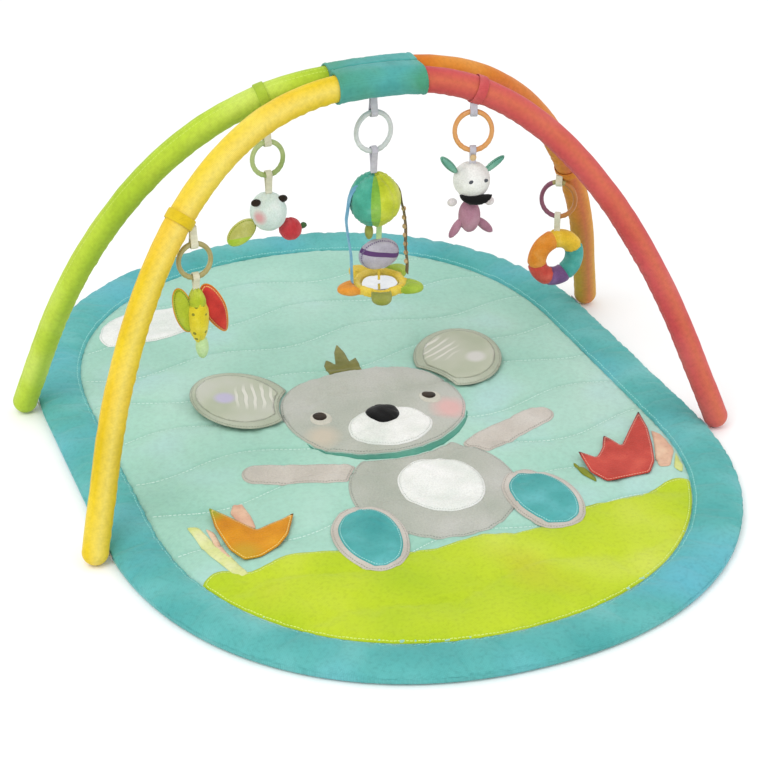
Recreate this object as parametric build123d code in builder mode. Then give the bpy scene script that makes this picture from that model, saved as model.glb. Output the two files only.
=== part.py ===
from build123d import *
from math import sin, cos, tan, atan, atan2, sqrt, radians, degrees, pi, copysign, hypot
import os

os.makedirs("parts", exist_ok=True)

# ---------------------------------------------------------------- dimensions
# A play gym: an oval padded floor mat with a printed animal, two padded
# arches that stand beside the mat, lean in and meet in a fabric cuff at the
# crown, and five hanging toys.  X is the mat's width, Y its length, Z is up.
# Origin: middle of the mat, on the floor.
MAT_HALF_W = 392.0        # half width of the mat
MAT_END_R = 401.0         # length of each rounded end
MAT_STRAIGHT = 147.5      # half length of the straight side
MAT_POWER = 2.153         # superellipse power of the rounded ends
BORDER_W = 60.0           # width of the padded border band
BORDER_H = 17.0           # height of the border band
PANEL_Z = 12.0            # top of the quilted panel
PANEL_T = 1.2             # fabric of the top panel
BACK_T = 1.4              # fabric of the backing
PRINT_T = 1.0             # appliqued cloth pieces

ARCH_Y = 6.0              # middle plane between both arches
FOOT_DY = 191.0           # foot line to the middle plane, at the floor
CROWN_DY = 16.5           # tube centre to the middle plane, at the crown
ARCH_H = 469.0            # tube centre height at the crown
ARCH_HALF_W = 403.0       # half spread of the tube curve
FOOT_FLARE = 10.0         # extra outward flare at the foot
TUBE_R = 16.0             # padded sleeve, outside radius
SLEEVE_IN = 14.8          # sleeve, inside radius
FOAM_R = 14.5             # foam, outside radius
FOAM_IN = 6.0             # foam, inside radius
POLE_R = 4.0              # flexible pole
FERRULE_R = 5.6           # joining ferrule, outside radius
FOOT_Z = 16.0             # centre of the rounded foot

LEAN = atan((FOOT_DY - CROWN_DY) / ARCH_H)
SL, CL = sin(LEAN), cos(LEAN)
REAR = (2.593, 1.447)     # shape powers of the rear arch
FRONT = (2.408, 1.372)    # shape powers of the front arch

CUFF_L, CUFF_R = -43.0, 67.0   # cuff ends along X
CUFF_IN, CUFF_OUT = 16.4, 18.6


# ---------------------------------------------------------------- curves
def arch_x(z, shape):
    """Half width of an arch's tube curve at height z."""
    p, q = shape
    k = min(max(z / ARCH_H, 0.0), 1.0)
    flare = FOOT_FLARE * max(0.0, 1 - z / 110.0) ** 2
    return ARCH_HALF_W * (1 - k ** q) ** (1 / p) + flare


def arch_z(x, shape):
    """Height of an arch's tube curve at half width x, upper part only."""
    p, q = shape
    return ARCH_H * (1 - min(abs(x) / ARCH_HALF_W, 1.0) ** p) ** (1 / q)


def biarc(p0, t0, p1, t1):
    """Two tangent arcs from p0 along t0 to p1 along t1, as three-point arcs."""
    vx, vy = p1[0] - p0[0], p1[1] - p0[1]
    tx, ty = t0[0] + t1[0], t0[1] + t1[1]
    vt, vv = vx * tx + vy * ty, vx * vx + vy * vy
    dd = 2 * (1 - (t0[0] * t1[0] + t0[1] * t1[1]))
    if dd < 1e-9:
        return [(p0, p1)]
    d = (-vt + sqrt(vt * vt + dd * vv)) / dd
    pm = ((p0[0] + p1[0] + d * (t0[0] - t1[0])) / 2, (p0[1] + p1[1] + d * (t0[1] - t1[1])) / 2)

    def mid(a, ta, b):
        cx, cy = b[0] - a[0], b[1] - a[1]
        c = hypot(cx, cy)
        ux, uy = cx / c, cy / c
        th = atan2(ta[0] * uy - ta[1] * ux, ta[0] * ux + ta[1] * uy)
        if abs(th) < 1e-6:
            return None
        sag = c / 2 * tan(th / 2)
        return ((a[0] + b[0]) / 2 + uy * sag, (a[1] + b[1]) / 2 - ux * sag)

    m0 = mid(p0, t0, pm)
    back = mid(p1, (-t1[0], -t1[1]), pm)
    first = (p0, m0, pm) if m0 else (p0, pm)
    second = (pm, back, p1) if back else (pm, p1)
    return [first, second]


def lay(segments):
    """Draw straight and arc segments in the open BuildLine."""
    for seg in segments:
        if len(seg) == 3:
            ThreePointArc(*seg)
        else:
            Line(*seg)


def unit(a, b):
    c = hypot(b[0] - a[0], b[1] - a[1])
    return ((b[0] - a[0]) / c, (b[1] - a[1]) / c)


def arch_nodes(shape, side, z_start, cuff_x):
    """Nodes with tangents of one half arch, from the foot to the crown, in
    the arch's own plane (x, distance up the plane)."""
    out = []
    heights = [z_start, 70.0, 150.0, 235.0, 310.0, 370.0, 415.0, 445.0]
    for z in heights:
        x = arch_x(z, shape)
        a = (arch_x(z - 0.01, shape), (z - 0.01) / CL)
        b = (arch_x(z + 0.01, shape), (z + 0.01) / CL)
        t = unit(a, b)
        out.append(((side * x, z / CL), (side * t[0], t[1])))
    for x in (cuff_x,):
        z = arch_z(x, shape)
        a = (x + 0.01, arch_z(x + 0.01, shape) / CL)
        b = (x - 0.01, arch_z(x - 0.01, shape) / CL)
        t = unit(a, b)
        out.append(((side * x, z / CL), (side * t[0], t[1])))
    out.append(((0.0, ARCH_H / CL), (-side * 1.0, 0.0)))
    return out


def spans(nodes):
    segs = []
    for (p0, t0), (p1, t1) in zip(nodes, nodes[1:]):
        segs += biarc(p0, t0, p1, t1)
    return segs


def arch_plane(front):
    """Leaning plane of an arch: local x is X, local y runs up the arch."""
    if front:
        return Plane(origin=(0, ARCH_Y - FOOT_DY, 0), x_dir=(1, 0, 0), z_dir=(0, -CL, SL))
    return Plane(origin=(0, ARCH_Y + FOOT_DY, 0), x_dir=(1, 0, 0), z_dir=(0, -CL, -SL))


def arch_y(front, z):
    s = -1 if front else 1
    return ARCH_Y + s * (FOOT_DY - z * tan(LEAN))


FP, RP = arch_plane(True), arch_plane(False)
Z_CAP = 26.0              # the sleeve starts here, above the end cap
front_left = spans(arch_nodes(FRONT, -1, Z_CAP, -CUFF_L))
front_right = spans(arch_nodes(FRONT, 1, Z_CAP, CUFF_R))
rear_left = spans(arch_nodes(REAR, -1, Z_CAP, -CUFF_L))
rear_right = spans(arch_nodes(REAR, 1, Z_CAP, CUFF_R))


def quarter():
    """Nodes of the mat outline's rounded end, first quadrant."""
    pts = []
    n = MAT_POWER
    for k in range(7):
        t = radians(15 * k)
        c, s = max(cos(t), 0.0), sin(t)
        if k == 6:
            c = 0.0
        x = MAT_HALF_W * c ** (2 / n)
        y = MAT_END_R * s ** (2 / n) + MAT_STRAIGHT
        if k == 0:
            tg = (0.0, 1.0)
        elif k == 6:
            tg = (-1.0, 0.0)
        else:
            # gradient of the superellipse, turned a quarter turn
            gx = (x / MAT_HALF_W) ** (n - 1) / MAT_HALF_W
            gy = ((y - MAT_STRAIGHT) / MAT_END_R) ** (n - 1) / MAT_END_R
            g = hypot(gx, gy)
            tg = (-gy / g, gx / g)
        pts.append(((x, y), tg))
    return pts


def mat_outline():
    q = quarter()
    first = q
    second = [((-p[0], p[1]), (t[0], -t[1])) for p, t in reversed(q)]
    third = [((-p[0], -p[1]), (-t[0], -t[1])) for p, t in q]
    fourth = [((p[0], -p[1]), (-t[0], t[1])) for p, t in reversed(q)]
    segs = spans(first) + spans(second)
    segs.append((second[-1][0], third[0][0]))
    segs += spans(third) + spans(fourth)
    segs.append((fourth[-1][0], first[0][0]))
    return segs


OUTLINE = mat_outline()

# ---------------------------------------------------------------- mat
with BuildPart() as mat_backing:
    with BuildSketch():
        with BuildLine():
            lay(OUTLINE)
        make_face()
        offset(amount=-BORDER_W, mode=Mode.REPLACE)
    extrude(amount=BACK_T)
mat_backing.part.label = "mat_backing"
export_step(mat_backing.part, "parts/mat_backing.step")

with BuildPart() as mat_wadding:
    with BuildSketch(Plane.XY.offset(BACK_T)):
        with BuildLine():
            lay(OUTLINE)
        make_face()
        offset(amount=-BORDER_W, mode=Mode.REPLACE)
    extrude(amount=PANEL_Z - PANEL_T - BACK_T)
mat_wadding.part.label = "mat_wadding"
export_step(mat_wadding.part, "parts/mat_wadding.step")

with BuildPart() as mat_top_panel:
    with BuildSketch(Plane.XY.offset(PANEL_Z - PANEL_T)):
        with BuildLine():
            lay(OUTLINE)
        make_face()
        offset(amount=-BORDER_W, mode=Mode.REPLACE)
    extrude(amount=PANEL_T)
mat_top_panel.part.label = "mat_top_panel"
export_step(mat_top_panel.part, "parts/mat_top_panel.step")

with BuildPart() as mat_border:
    with BuildSketch() as border_outer:
        with BuildLine():
            lay(OUTLINE)
        make_face()
    extrude(amount=BORDER_H)
    fillet(mat_border.edges().group_by(Axis.Z)[-1], radius=7.5)
    fillet(mat_border.edges().group_by(Axis.Z)[0], radius=6.0)
    with BuildSketch():
        with BuildLine():
            lay(OUTLINE)
        make_face()
        offset(amount=-BORDER_W, mode=Mode.REPLACE)
    extrude(amount=BORDER_H, mode=Mode.SUBTRACT)
mat_border.part.label = "mat_border"
export_step(mat_border.part, "parts/mat_border.step")

FOOT_Y_FRONT = arch_y(True, FOOT_Z)
FOOT_Y_REAR = arch_y(False, FOOT_Z)
with BuildPart() as foot_tabs:
    for side in (-1, 1):
        for fy in (FOOT_Y_FRONT, FOOT_Y_REAR):
            with BuildSketch(Plane.XY.offset(5.5)):
                with Locations((side * (MAT_HALF_W + 0.3), fy)):
                    Rectangle(0.6, 20)
            extrude(amount=5)
foot_tabs.part.label = "foot_tabs"
export_step(foot_tabs.part, "parts/foot_tabs.step")

# printed and appliqued cloth on the panel, each a thin layer
P1 = PANEL_Z
GRASS_EDGE = [(-331, -296), (-290, -262), (-254, -282), (-205, -262), (-154, -275), (-95, -300),
              (-34, -317), (20, -305), (66, -323), (120, -312), (170, -297), (234, -304), (290, -285), (325, -300)]
with BuildPart() as grass_panel:
    with BuildSketch(Plane.XY.offset(P1)):
        with BuildLine():
            lay(OUTLINE)
        make_face()
        offset(amount=-BORDER_W, mode=Mode.REPLACE)
        with BuildLine():
            Polyline(*([(-420, -620), (-420, -310)] + GRASS_EDGE + [(420, -290), (420, -620)]), close=True)
        make_face(mode=Mode.INTERSECT)
    extrude(amount=PRINT_T)
grass_panel.part.label = "grass_panel"
export_step(grass_panel.part, "parts/grass_panel.step")

with BuildPart() as cloud_patch:
    with BuildSketch(Plane.XY.offset(P1)):
        with Locations((-205, 335)):
            Ellipse(66, 46)
        with Locations((-246, 322), (-165, 350)):
            Circle(30)
    extrude(amount=PRINT_T)
cloud_patch.part.label = "cloud_patch"
export_step(cloud_patch.part, "parts/cloud_patch.step")

FACE_X = 9.0              # the printed animal's middle line
P2 = P1 + PRINT_T
with BuildPart() as mouse_arms:
    with BuildSketch(Plane.XY.offset(P1)):
        with Locations(Location((FACE_X - 153, -104), -20)):
            SlotOverall(125, 44)
        with Locations(Location((FACE_X + 153, -104), 20)):
            SlotOverall(125, 44)
        with Locations((FACE_X, -195)):
            Ellipse(104.4, 108.4, mode=Mode.SUBTRACT)
        with Locations((FACE_X, 4)):
            Ellipse(120.4, 108.4, mode=Mode.SUBTRACT)
    extrude(amount=PRINT_T)
mouse_arms.part.label = "mouse_arms"
export_step(mouse_arms.part, "parts/mouse_arms.step")

with BuildPart() as mouse_feet:
    with BuildSketch(Plane.XY.offset(P1)):
        with Locations((FACE_X - 111, -276), (FACE_X + 111, -276)):
            Ellipse(37, 58)
        with Locations((FACE_X, -195)):
            Ellipse(104.4, 108.4, mode=Mode.SUBTRACT)
        with BuildLine():
            Polyline(*([(-420, -620), (-420, -309)] + [(x, y + 0.4) for x, y in GRASS_EDGE] + [(420, -289), (420, -620)]), close=True)
        make_face(mode=Mode.SUBTRACT)
    extrude(amount=PRINT_T)
mouse_feet.part.label = "mouse_feet"
export_step(mouse_feet.part, "parts/mouse_feet.step")

with BuildPart() as mouse_soles:
    with BuildSketch(Plane.XY.offset(P2)):
        with Locations((FACE_X - 112, -266), (FACE_X + 112, -266)):
            Ellipse(17, 25)
    extrude(amount=0.6)
mouse_soles.part.label = "mouse_soles"
export_step(mouse_soles.part, "parts/mouse_soles.step")

with BuildPart() as mouse_belly:
    with BuildSketch(Plane.XY.offset(P2)):
        with Locations((FACE_X + 9, -195)):
            Ellipse(52, 62)
        with Locations((FACE_X, 4)):
            Ellipse(120.4, 108.4, mode=Mode.SUBTRACT)
    extrude(amount=PRINT_T)
mouse_belly.part.label = "mouse_belly"
export_step(mouse_belly.part, "parts/mouse_belly.step")

with BuildPart() as mouse_head:
    with BuildSketch(Plane.XY.offset(P1)):
        with Locations((FACE_X, 4)):
            Ellipse(120, 108)
    extrude(amount=2.4)
mouse_head.part.label = "mouse_head"
export_step(mouse_head.part, "parts/mouse_head.step")

# the body, cut back where the head and the grass lie beside it
with BuildPart() as mouse_body:
    with BuildSketch(Plane.XY.offset(P1)):
        with Locations((FACE_X, -195)):
            Ellipse(104, 108)
        with Locations((FACE_X, 4)):
            Ellipse(120.4, 108.4, mode=Mode.SUBTRACT)
        with BuildLine():
            Polyline(*([(-420, -620), (-420, -309)] + [(x, y + 0.4) for x, y in GRASS_EDGE] + [(420, -289), (420, -620)]), close=True)
        make_face(mode=Mode.SUBTRACT)
    extrude(amount=PRINT_T)
mouse_body.part.label = "mouse_body"
export_step(mouse_body.part, "parts/mouse_body.step")

HEAD_TOP = P1 + 2.4
with BuildPart() as mouse_muzzle:
    with BuildSketch(Plane.XY.offset(HEAD_TOP)):
        with Locations((FACE_X, -52)):
            Ellipse(54, 40)
        with Locations((FACE_X, -19)):
            Ellipse(22.4, 17.4, mode=Mode.SUBTRACT)
    extrude(amount=1.6)
mouse_muzzle.part.label = "mouse_muzzle"
export_step(mouse_muzzle.part, "parts/mouse_muzzle.step")

with BuildPart() as mouse_nose:
    with BuildSketch(Plane.XY.offset(HEAD_TOP)):
        with Locations((FACE_X + 1, -19)):
            Ellipse(21, 16.5)
    extrude(amount=3.0)
mouse_nose.part.label = "mouse_nose"
export_step(mouse_nose.part, "parts/mouse_nose.step")

with BuildPart() as mouse_eyes:
    with BuildSketch(Plane.XY.offset(HEAD_TOP)):
        with Locations((FACE_X - 76, 4), (FACE_X + 76, 4)):
            Ellipse(9, 11)
    extrude(amount=1.2)
mouse_eyes.part.label = "mouse_eyes"
export_step(mouse_eyes.part, "parts/mouse_eyes.step")

with BuildPart() as mouse_tuft:
    with BuildSketch(Plane.XY.offset(P1)):
        with BuildLine():
            Polyline((-22, 108), (-16, 150), (2, 132), (14, 172), (24, 134), (44, 146), (40, 106), close=True)
        make_face()
        with Locations((FACE_X, 4)):
            Ellipse(120.4, 108.4, mode=Mode.SUBTRACT)
    extrude(amount=PRINT_T)
mouse_tuft.part.label = "mouse_tuft"
export_step(mouse_tuft.part, "parts/mouse_tuft.step")

# ---------------------------------------------------------------- flaps
EAR_DX, EAR_Y, EAR_A, EAR_B = 158.0, 82.0, 66.0, 74.0
EAR_Z = PANEL_Z + 0.8
with BuildPart() as left_ear_cover:
    with BuildSketch(Plane.XY.offset(EAR_Z)):
        with Locations(Location((FACE_X - EAR_DX, EAR_Y), 18)):
            Ellipse(EAR_A, EAR_B)
        with Locations((FACE_X, 4)):
            Ellipse(121, 109, mode=Mode.SUBTRACT)
    extrude(amount=3.2)
left_ear_cover.part.label = "left_ear_cover"
export_step(left_ear_cover.part, "parts/left_ear_cover.step")

with BuildPart() as left_ear_lining:
    with BuildSketch(Plane.XY.offset(EAR_Z + 3.2)):
        with Locations(Location((FACE_X - EAR_DX - 4, EAR_Y + 2), 18)):
            Ellipse(EAR_A - 20, EAR_B - 20)
    extrude(amount=1.2)
left_ear_lining.part.label = "left_ear_lining"
export_step(left_ear_lining.part, "parts/left_ear_lining.step")

with BuildPart() as right_ear_cover:
    with BuildSketch(Plane.XY.offset(EAR_Z)):
        with Locations(Location((FACE_X + EAR_DX, EAR_Y), -18)):
            Ellipse(EAR_A, EAR_B)
        with Locations((FACE_X, 4)):
            Ellipse(121, 109, mode=Mode.SUBTRACT)
    extrude(amount=3.2)
right_ear_cover.part.label = "right_ear_cover"
export_step(right_ear_cover.part, "parts/right_ear_cover.step")

with BuildPart() as right_ear_lining:
    with BuildSketch(Plane.XY.offset(EAR_Z + 3.2)):
        with Locations(Location((FACE_X + EAR_DX + 4, EAR_Y + 2), -18)):
            Ellipse(EAR_A - 20, EAR_B - 20)
    extrude(amount=1.2)
right_ear_lining.part.label = "right_ear_lining"
export_step(right_ear_lining.part, "parts/right_ear_lining.step")

LEAF_Z = PANEL_Z + 0.8
with BuildPart() as orange_leaf:
    with BuildSketch(Plane.XY.offset(LEAF_Z)) as orange_leaf_face:
        with BuildLine():
            Polyline((-232, -258), (-172, -194), (-190, -166), (-214, -152), (-236, -150), (-260, -160), (-258, -252), close=True)
        make_face()
        fillet(orange_leaf_face.vertices(), radius=6)
    extrude(amount=3.0)
orange_leaf.part.label = "orange_leaf"
export_step(orange_leaf.part, "parts/orange_leaf.step")

with BuildPart() as red_leaf:
    with BuildSketch(Plane.XY.offset(LEAF_Z)) as red_leaf_face:
        with BuildLine():
            Polyline((224, -268), (202, -222), (206, -198), (236, -186), (262, -172), (300, -150), (314, -160), (302, -204), (284, -240), (262, -268), close=True)
        make_face()
        fillet(red_leaf_face.vertices(), radius=5)
    extrude(amount=3.0)
red_leaf.part.label = "red_leaf"
export_step(red_leaf.part, "parts/red_leaf.step")

# ---------------------------------------------------------------- arches
def slope_at(x, shape):
    """Unit tangent of the upper curve at x, running towards +x."""
    a = (x - 0.01, arch_z(x - 0.01, shape) / CL)
    b = (x + 0.01, arch_z(x + 0.01, shape) / CL)
    return unit(a, b)



def start_of(front, side):
    """Foot end of a half arch: its point and its unit tangent, in space."""
    shape = FRONT if front else REAR
    (p, t) = arch_nodes(shape, side, Z_CAP, 50.0)[0]
    pl = FP if front else RP
    o, xd, yd = pl.origin, pl.x_dir, pl.y_dir
    pt = o + xd * p[0] + yd * p[1]
    tg = xd * t[0] + yd * t[1]
    return pt, tg.normalized()


with BuildPart() as front_pole_left:
    foot, way = start_of(True, -1)
    with BuildLine(FP) as run:
        lay(front_left)
    with BuildSketch(Plane(origin=run.line @ 0, z_dir=run.line % 0)):
        Circle(POLE_R)
    sweep(path=run.line)
    with Locations(Plane(origin=foot - way * 3.5, z_dir=way).location):
        Cylinder(POLE_R, 7.0)
front_pole_left.part.label = "front_pole_left"
export_step(front_pole_left.part, "parts/front_pole_left.step")

with BuildPart() as front_pole_right:
    foot, way = start_of(True, 1)
    with BuildLine(FP) as run:
        lay(front_right)
    with BuildSketch(Plane(origin=run.line @ 0, z_dir=run.line % 0)):
        Circle(POLE_R)
    sweep(path=run.line)
    with Locations(Plane(origin=foot - way * 3.5, z_dir=way).location):
        Cylinder(POLE_R, 7.0)
front_pole_right.part.label = "front_pole_right"
export_step(front_pole_right.part, "parts/front_pole_right.step")

with BuildPart() as front_foam:
    with BuildLine(FP) as run_a:
        lay(front_left)
    with BuildSketch(Plane(origin=run_a.line @ 0, z_dir=run_a.line % 0)):
        Circle(FOAM_R)
        Circle(FOAM_IN, mode=Mode.SUBTRACT)
    sweep(path=run_a.line)
    with BuildPart(mode=Mode.PRIVATE) as other_half:
        with BuildLine(FP) as run_b:
            lay(front_right)
        with BuildSketch(Plane(origin=run_b.line @ 0, z_dir=run_b.line % 0)):
            Circle(FOAM_R)
            Circle(FOAM_IN, mode=Mode.SUBTRACT)
        sweep(path=run_b.line)
    add(other_half.part)
front_foam.part.label = "front_foam"
export_step(front_foam.part, "parts/front_foam.step")

with BuildPart() as yellow_sleeve:
    with BuildLine(FP) as run:
        lay(front_left)
    with BuildSketch(Plane(origin=run.line @ 0, z_dir=run.line % 0)):
        Circle(TUBE_R)
        Circle(SLEEVE_IN, mode=Mode.SUBTRACT)
    sweep(path=run.line)
yellow_sleeve.part.label = "yellow_sleeve"
export_step(yellow_sleeve.part, "parts/yellow_sleeve.step")

with BuildPart() as red_sleeve:
    with BuildLine(FP) as run:
        lay(front_right)
    with BuildSketch(Plane(origin=run.line @ 0, z_dir=run.line % 0)):
        Circle(TUBE_R)
        Circle(SLEEVE_IN, mode=Mode.SUBTRACT)
    sweep(path=run.line)
red_sleeve.part.label = "red_sleeve"
export_step(red_sleeve.part, "parts/red_sleeve.step")

with BuildPart() as front_end_caps:
    for side in (-1, 1):
        foot, way = start_of(True, side)
        drop = (Z_CAP - FOOT_Z) / way.Z
        with Locations(Plane(origin=foot - way * (drop / 2), z_dir=way).location):
            Cylinder(TUBE_R, drop)
        with Locations(foot - way * drop):
            Sphere(TUBE_R)
    # cut the ball back to the lower half, and bore the pole's socket
    for side in (-1, 1):
        foot, way = start_of(True, side)
        with Locations(Plane(origin=foot + way * 15, z_dir=way).location):
            Cylinder(TUBE_R + 4, 30, mode=Mode.SUBTRACT)
        with Locations(Plane(origin=foot - way * 3.5, z_dir=way).location):
            Cylinder(POLE_R + 0.1, 7.2, mode=Mode.SUBTRACT)
front_end_caps.part.label = "front_end_caps"
export_step(front_end_caps.part, "parts/front_end_caps.step")

with BuildPart() as front_ferrule:
    with BuildLine(FP) as run:
        lay(spans([((-34.0, arch_z(34.0, FRONT) / CL), slope_at(-34.0, FRONT)), ((0.0, ARCH_H / CL), (1.0, 0.0)), ((34.0, arch_z(34.0, FRONT) / CL), slope_at(34.0, FRONT))]))
    with BuildSketch(Plane(origin=run.line @ 0, z_dir=run.line % 0)):
        Circle(FERRULE_R)
        Circle(POLE_R + 0.12, mode=Mode.SUBTRACT)
    sweep(path=run.line)
front_ferrule.part.label = "front_ferrule"
export_step(front_ferrule.part, "parts/front_ferrule.step")

with BuildPart() as front_cuff:
    with BuildLine(FP) as run:
        lay(spans([((CUFF_L, arch_z(CUFF_L, FRONT) / CL), slope_at(CUFF_L, FRONT)), ((0.0, ARCH_H / CL), (1.0, 0.0)), ((CUFF_R, arch_z(CUFF_R, FRONT) / CL), slope_at(CUFF_R, FRONT))]))
    with BuildSketch(Plane(origin=run.line @ 0, z_dir=run.line % 0)):
        Circle(CUFF_OUT)
        Circle(CUFF_IN, mode=Mode.SUBTRACT)
    sweep(path=run.line)
    split(bisect_by=Plane(origin=(0, ARCH_Y - 0.25, 0), z_dir=(0, 1, 0)), keep=Keep.BOTTOM)
front_cuff.part.label = "front_cuff"
export_step(front_cuff.part, "parts/front_cuff.step")

with BuildPart() as rear_pole_left:
    foot, way = start_of(False, -1)
    with BuildLine(RP) as run:
        lay(rear_left)
    with BuildSketch(Plane(origin=run.line @ 0, z_dir=run.line % 0)):
        Circle(POLE_R)
    sweep(path=run.line)
    with Locations(Plane(origin=foot - way * 3.5, z_dir=way).location):
        Cylinder(POLE_R, 7.0)
rear_pole_left.part.label = "rear_pole_left"
export_step(rear_pole_left.part, "parts/rear_pole_left.step")

with BuildPart() as rear_pole_right:
    foot, way = start_of(False, 1)
    with BuildLine(RP) as run:
        lay(rear_right)
    with BuildSketch(Plane(origin=run.line @ 0, z_dir=run.line % 0)):
        Circle(POLE_R)
    sweep(path=run.line)
    with Locations(Plane(origin=foot - way * 3.5, z_dir=way).location):
        Cylinder(POLE_R, 7.0)
rear_pole_right.part.label = "rear_pole_right"
export_step(rear_pole_right.part, "parts/rear_pole_right.step")

with BuildPart() as rear_foam:
    with BuildLine(RP) as run_a:
        lay(rear_left)
    with BuildSketch(Plane(origin=run_a.line @ 0, z_dir=run_a.line % 0)):
        Circle(FOAM_R)
        Circle(FOAM_IN, mode=Mode.SUBTRACT)
    sweep(path=run_a.line)
    with BuildPart(mode=Mode.PRIVATE) as other_half:
        with BuildLine(RP) as run_b:
            lay(rear_right)
        with BuildSketch(Plane(origin=run_b.line @ 0, z_dir=run_b.line % 0)):
            Circle(FOAM_R)
            Circle(FOAM_IN, mode=Mode.SUBTRACT)
        sweep(path=run_b.line)
    add(other_half.part)
rear_foam.part.label = "rear_foam"
export_step(rear_foam.part, "parts/rear_foam.step")

with BuildPart() as green_sleeve:
    with BuildLine(RP) as run:
        lay(rear_left)
    with BuildSketch(Plane(origin=run.line @ 0, z_dir=run.line % 0)):
        Circle(TUBE_R)
        Circle(SLEEVE_IN, mode=Mode.SUBTRACT)
    sweep(path=run.line)
green_sleeve.part.label = "green_sleeve"
export_step(green_sleeve.part, "parts/green_sleeve.step")

with BuildPart() as orange_sleeve:
    with BuildLine(RP) as run:
        lay(rear_right)
    with BuildSketch(Plane(origin=run.line @ 0, z_dir=run.line % 0)):
        Circle(TUBE_R)
        Circle(SLEEVE_IN, mode=Mode.SUBTRACT)
    sweep(path=run.line)
orange_sleeve.part.label = "orange_sleeve"
export_step(orange_sleeve.part, "parts/orange_sleeve.step")

with BuildPart() as rear_end_caps:
    for side in (-1, 1):
        foot, way = start_of(False, side)
        drop = (Z_CAP - FOOT_Z) / way.Z
        with Locations(Plane(origin=foot - way * (drop / 2), z_dir=way).location):
            Cylinder(TUBE_R, drop)
        with Locations(foot - way * drop):
            Sphere(TUBE_R)
    # cut the ball back to the lower half, and bore the pole's socket
    for side in (-1, 1):
        foot, way = start_of(False, side)
        with Locations(Plane(origin=foot + way * 15, z_dir=way).location):
            Cylinder(TUBE_R + 4, 30, mode=Mode.SUBTRACT)
        with Locations(Plane(origin=foot - way * 3.5, z_dir=way).location):
            Cylinder(POLE_R + 0.1, 7.2, mode=Mode.SUBTRACT)
rear_end_caps.part.label = "rear_end_caps"
export_step(rear_end_caps.part, "parts/rear_end_caps.step")

with BuildPart() as rear_ferrule:
    with BuildLine(RP) as run:
        lay(spans([((-34.0, arch_z(34.0, REAR) / CL), slope_at(-34.0, REAR)), ((0.0, ARCH_H / CL), (1.0, 0.0)), ((34.0, arch_z(34.0, REAR) / CL), slope_at(34.0, REAR))]))
    with BuildSketch(Plane(origin=run.line @ 0, z_dir=run.line % 0)):
        Circle(FERRULE_R)
        Circle(POLE_R + 0.12, mode=Mode.SUBTRACT)
    sweep(path=run.line)
rear_ferrule.part.label = "rear_ferrule"
export_step(rear_ferrule.part, "parts/rear_ferrule.step")

with BuildPart() as rear_cuff:
    with BuildLine(RP) as run:
        lay(spans([((CUFF_L, arch_z(CUFF_L, REAR) / CL), slope_at(CUFF_L, REAR)), ((0.0, ARCH_H / CL), (1.0, 0.0)), ((CUFF_R, arch_z(CUFF_R, REAR) / CL), slope_at(CUFF_R, REAR))]))
    with BuildSketch(Plane(origin=run.line @ 0, z_dir=run.line % 0)):
        Circle(CUFF_OUT)
        Circle(CUFF_IN, mode=Mode.SUBTRACT)
    sweep(path=run.line)
    split(bisect_by=Plane(origin=(0, ARCH_Y + 0.25, 0), z_dir=(0, 1, 0)), keep=Keep.TOP)
rear_cuff.part.label = "rear_cuff"
export_step(rear_cuff.part, "parts/rear_cuff.step")

# ---------------------------------------------------------------- toys
WIRE = 3.6                # radius of a toy ring's wire
EYE = 2.2                 # cloth thickness round the wire
GAP = 0.6                 # clearance between the wire and its eye


def hang_point(front, ring_x):
    """Where a toy's strap sits: the tube point, the tube's direction there,
    and the point on the tube's underside right above the ring."""
    shape = FRONT if front else REAR
    pl = FP if front else RP
    side = 1 if ring_x > 0 else -1
    lo, hi = abs(ring_x), abs(ring_x) + 30
    for _ in range(60):
        m = (lo + hi) / 2
        t = slope_at(m, shape)
        under = m + t[1] * 17.0           # underside point's x
        if under < abs(ring_x):
            lo = m
        else:
            hi = m
    x = (lo + hi) / 2
    t = slope_at(x, shape)
    z = arch_z(x, shape) / CL
    p = (side * x, z)
    u = (side * (x + t[1] * 17.0), z - t[0] * 17.0)
    o, xd, yd = pl.origin, pl.x_dir, pl.y_dir
    pt = o + xd * p[0] + yd * p[1]
    un = o + xd * u[0] + yd * u[1]
    way = (xd * t[0] + yd * (side * t[1])).normalized()
    return pt, way, un


BUTTERFLY_X, BUTTERFLY_Z, BUTTERFLY_R, BUTTERFLY_AZ = -237.0, 302.0, 21.5, radians(0.0)
BUTTERFLY_TUBE, BUTTERFLY_WAY, BUTTERFLY_UNDER = hang_point(True, BUTTERFLY_X)
BUTTERFLY_Y = BUTTERFLY_UNDER.Y
BUTTERFLY_LX = Vector(cos(BUTTERFLY_AZ), sin(BUTTERFLY_AZ), 0)          # along the ring's wire at its top
BUTTERFLY_LY = Vector(-sin(BUTTERFLY_AZ), cos(BUTTERFLY_AZ), 0)         # the ring's own axis
BUTTERFLY_C = Vector(BUTTERFLY_X, BUTTERFLY_Y, BUTTERFLY_Z)

CHICK_X, CHICK_Z, CHICK_R, CHICK_AZ = -115.0, 374.0, 21.5, radians(0.0)
CHICK_TUBE, CHICK_WAY, CHICK_UNDER = hang_point(False, CHICK_X)
CHICK_Y = CHICK_UNDER.Y
CHICK_LX = Vector(cos(CHICK_AZ), sin(CHICK_AZ), 0)          # along the ring's wire at its top
CHICK_LY = Vector(-sin(CHICK_AZ), cos(CHICK_AZ), 0)         # the ring's own axis
CHICK_C = Vector(CHICK_X, CHICK_Y, CHICK_Z)

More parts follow.
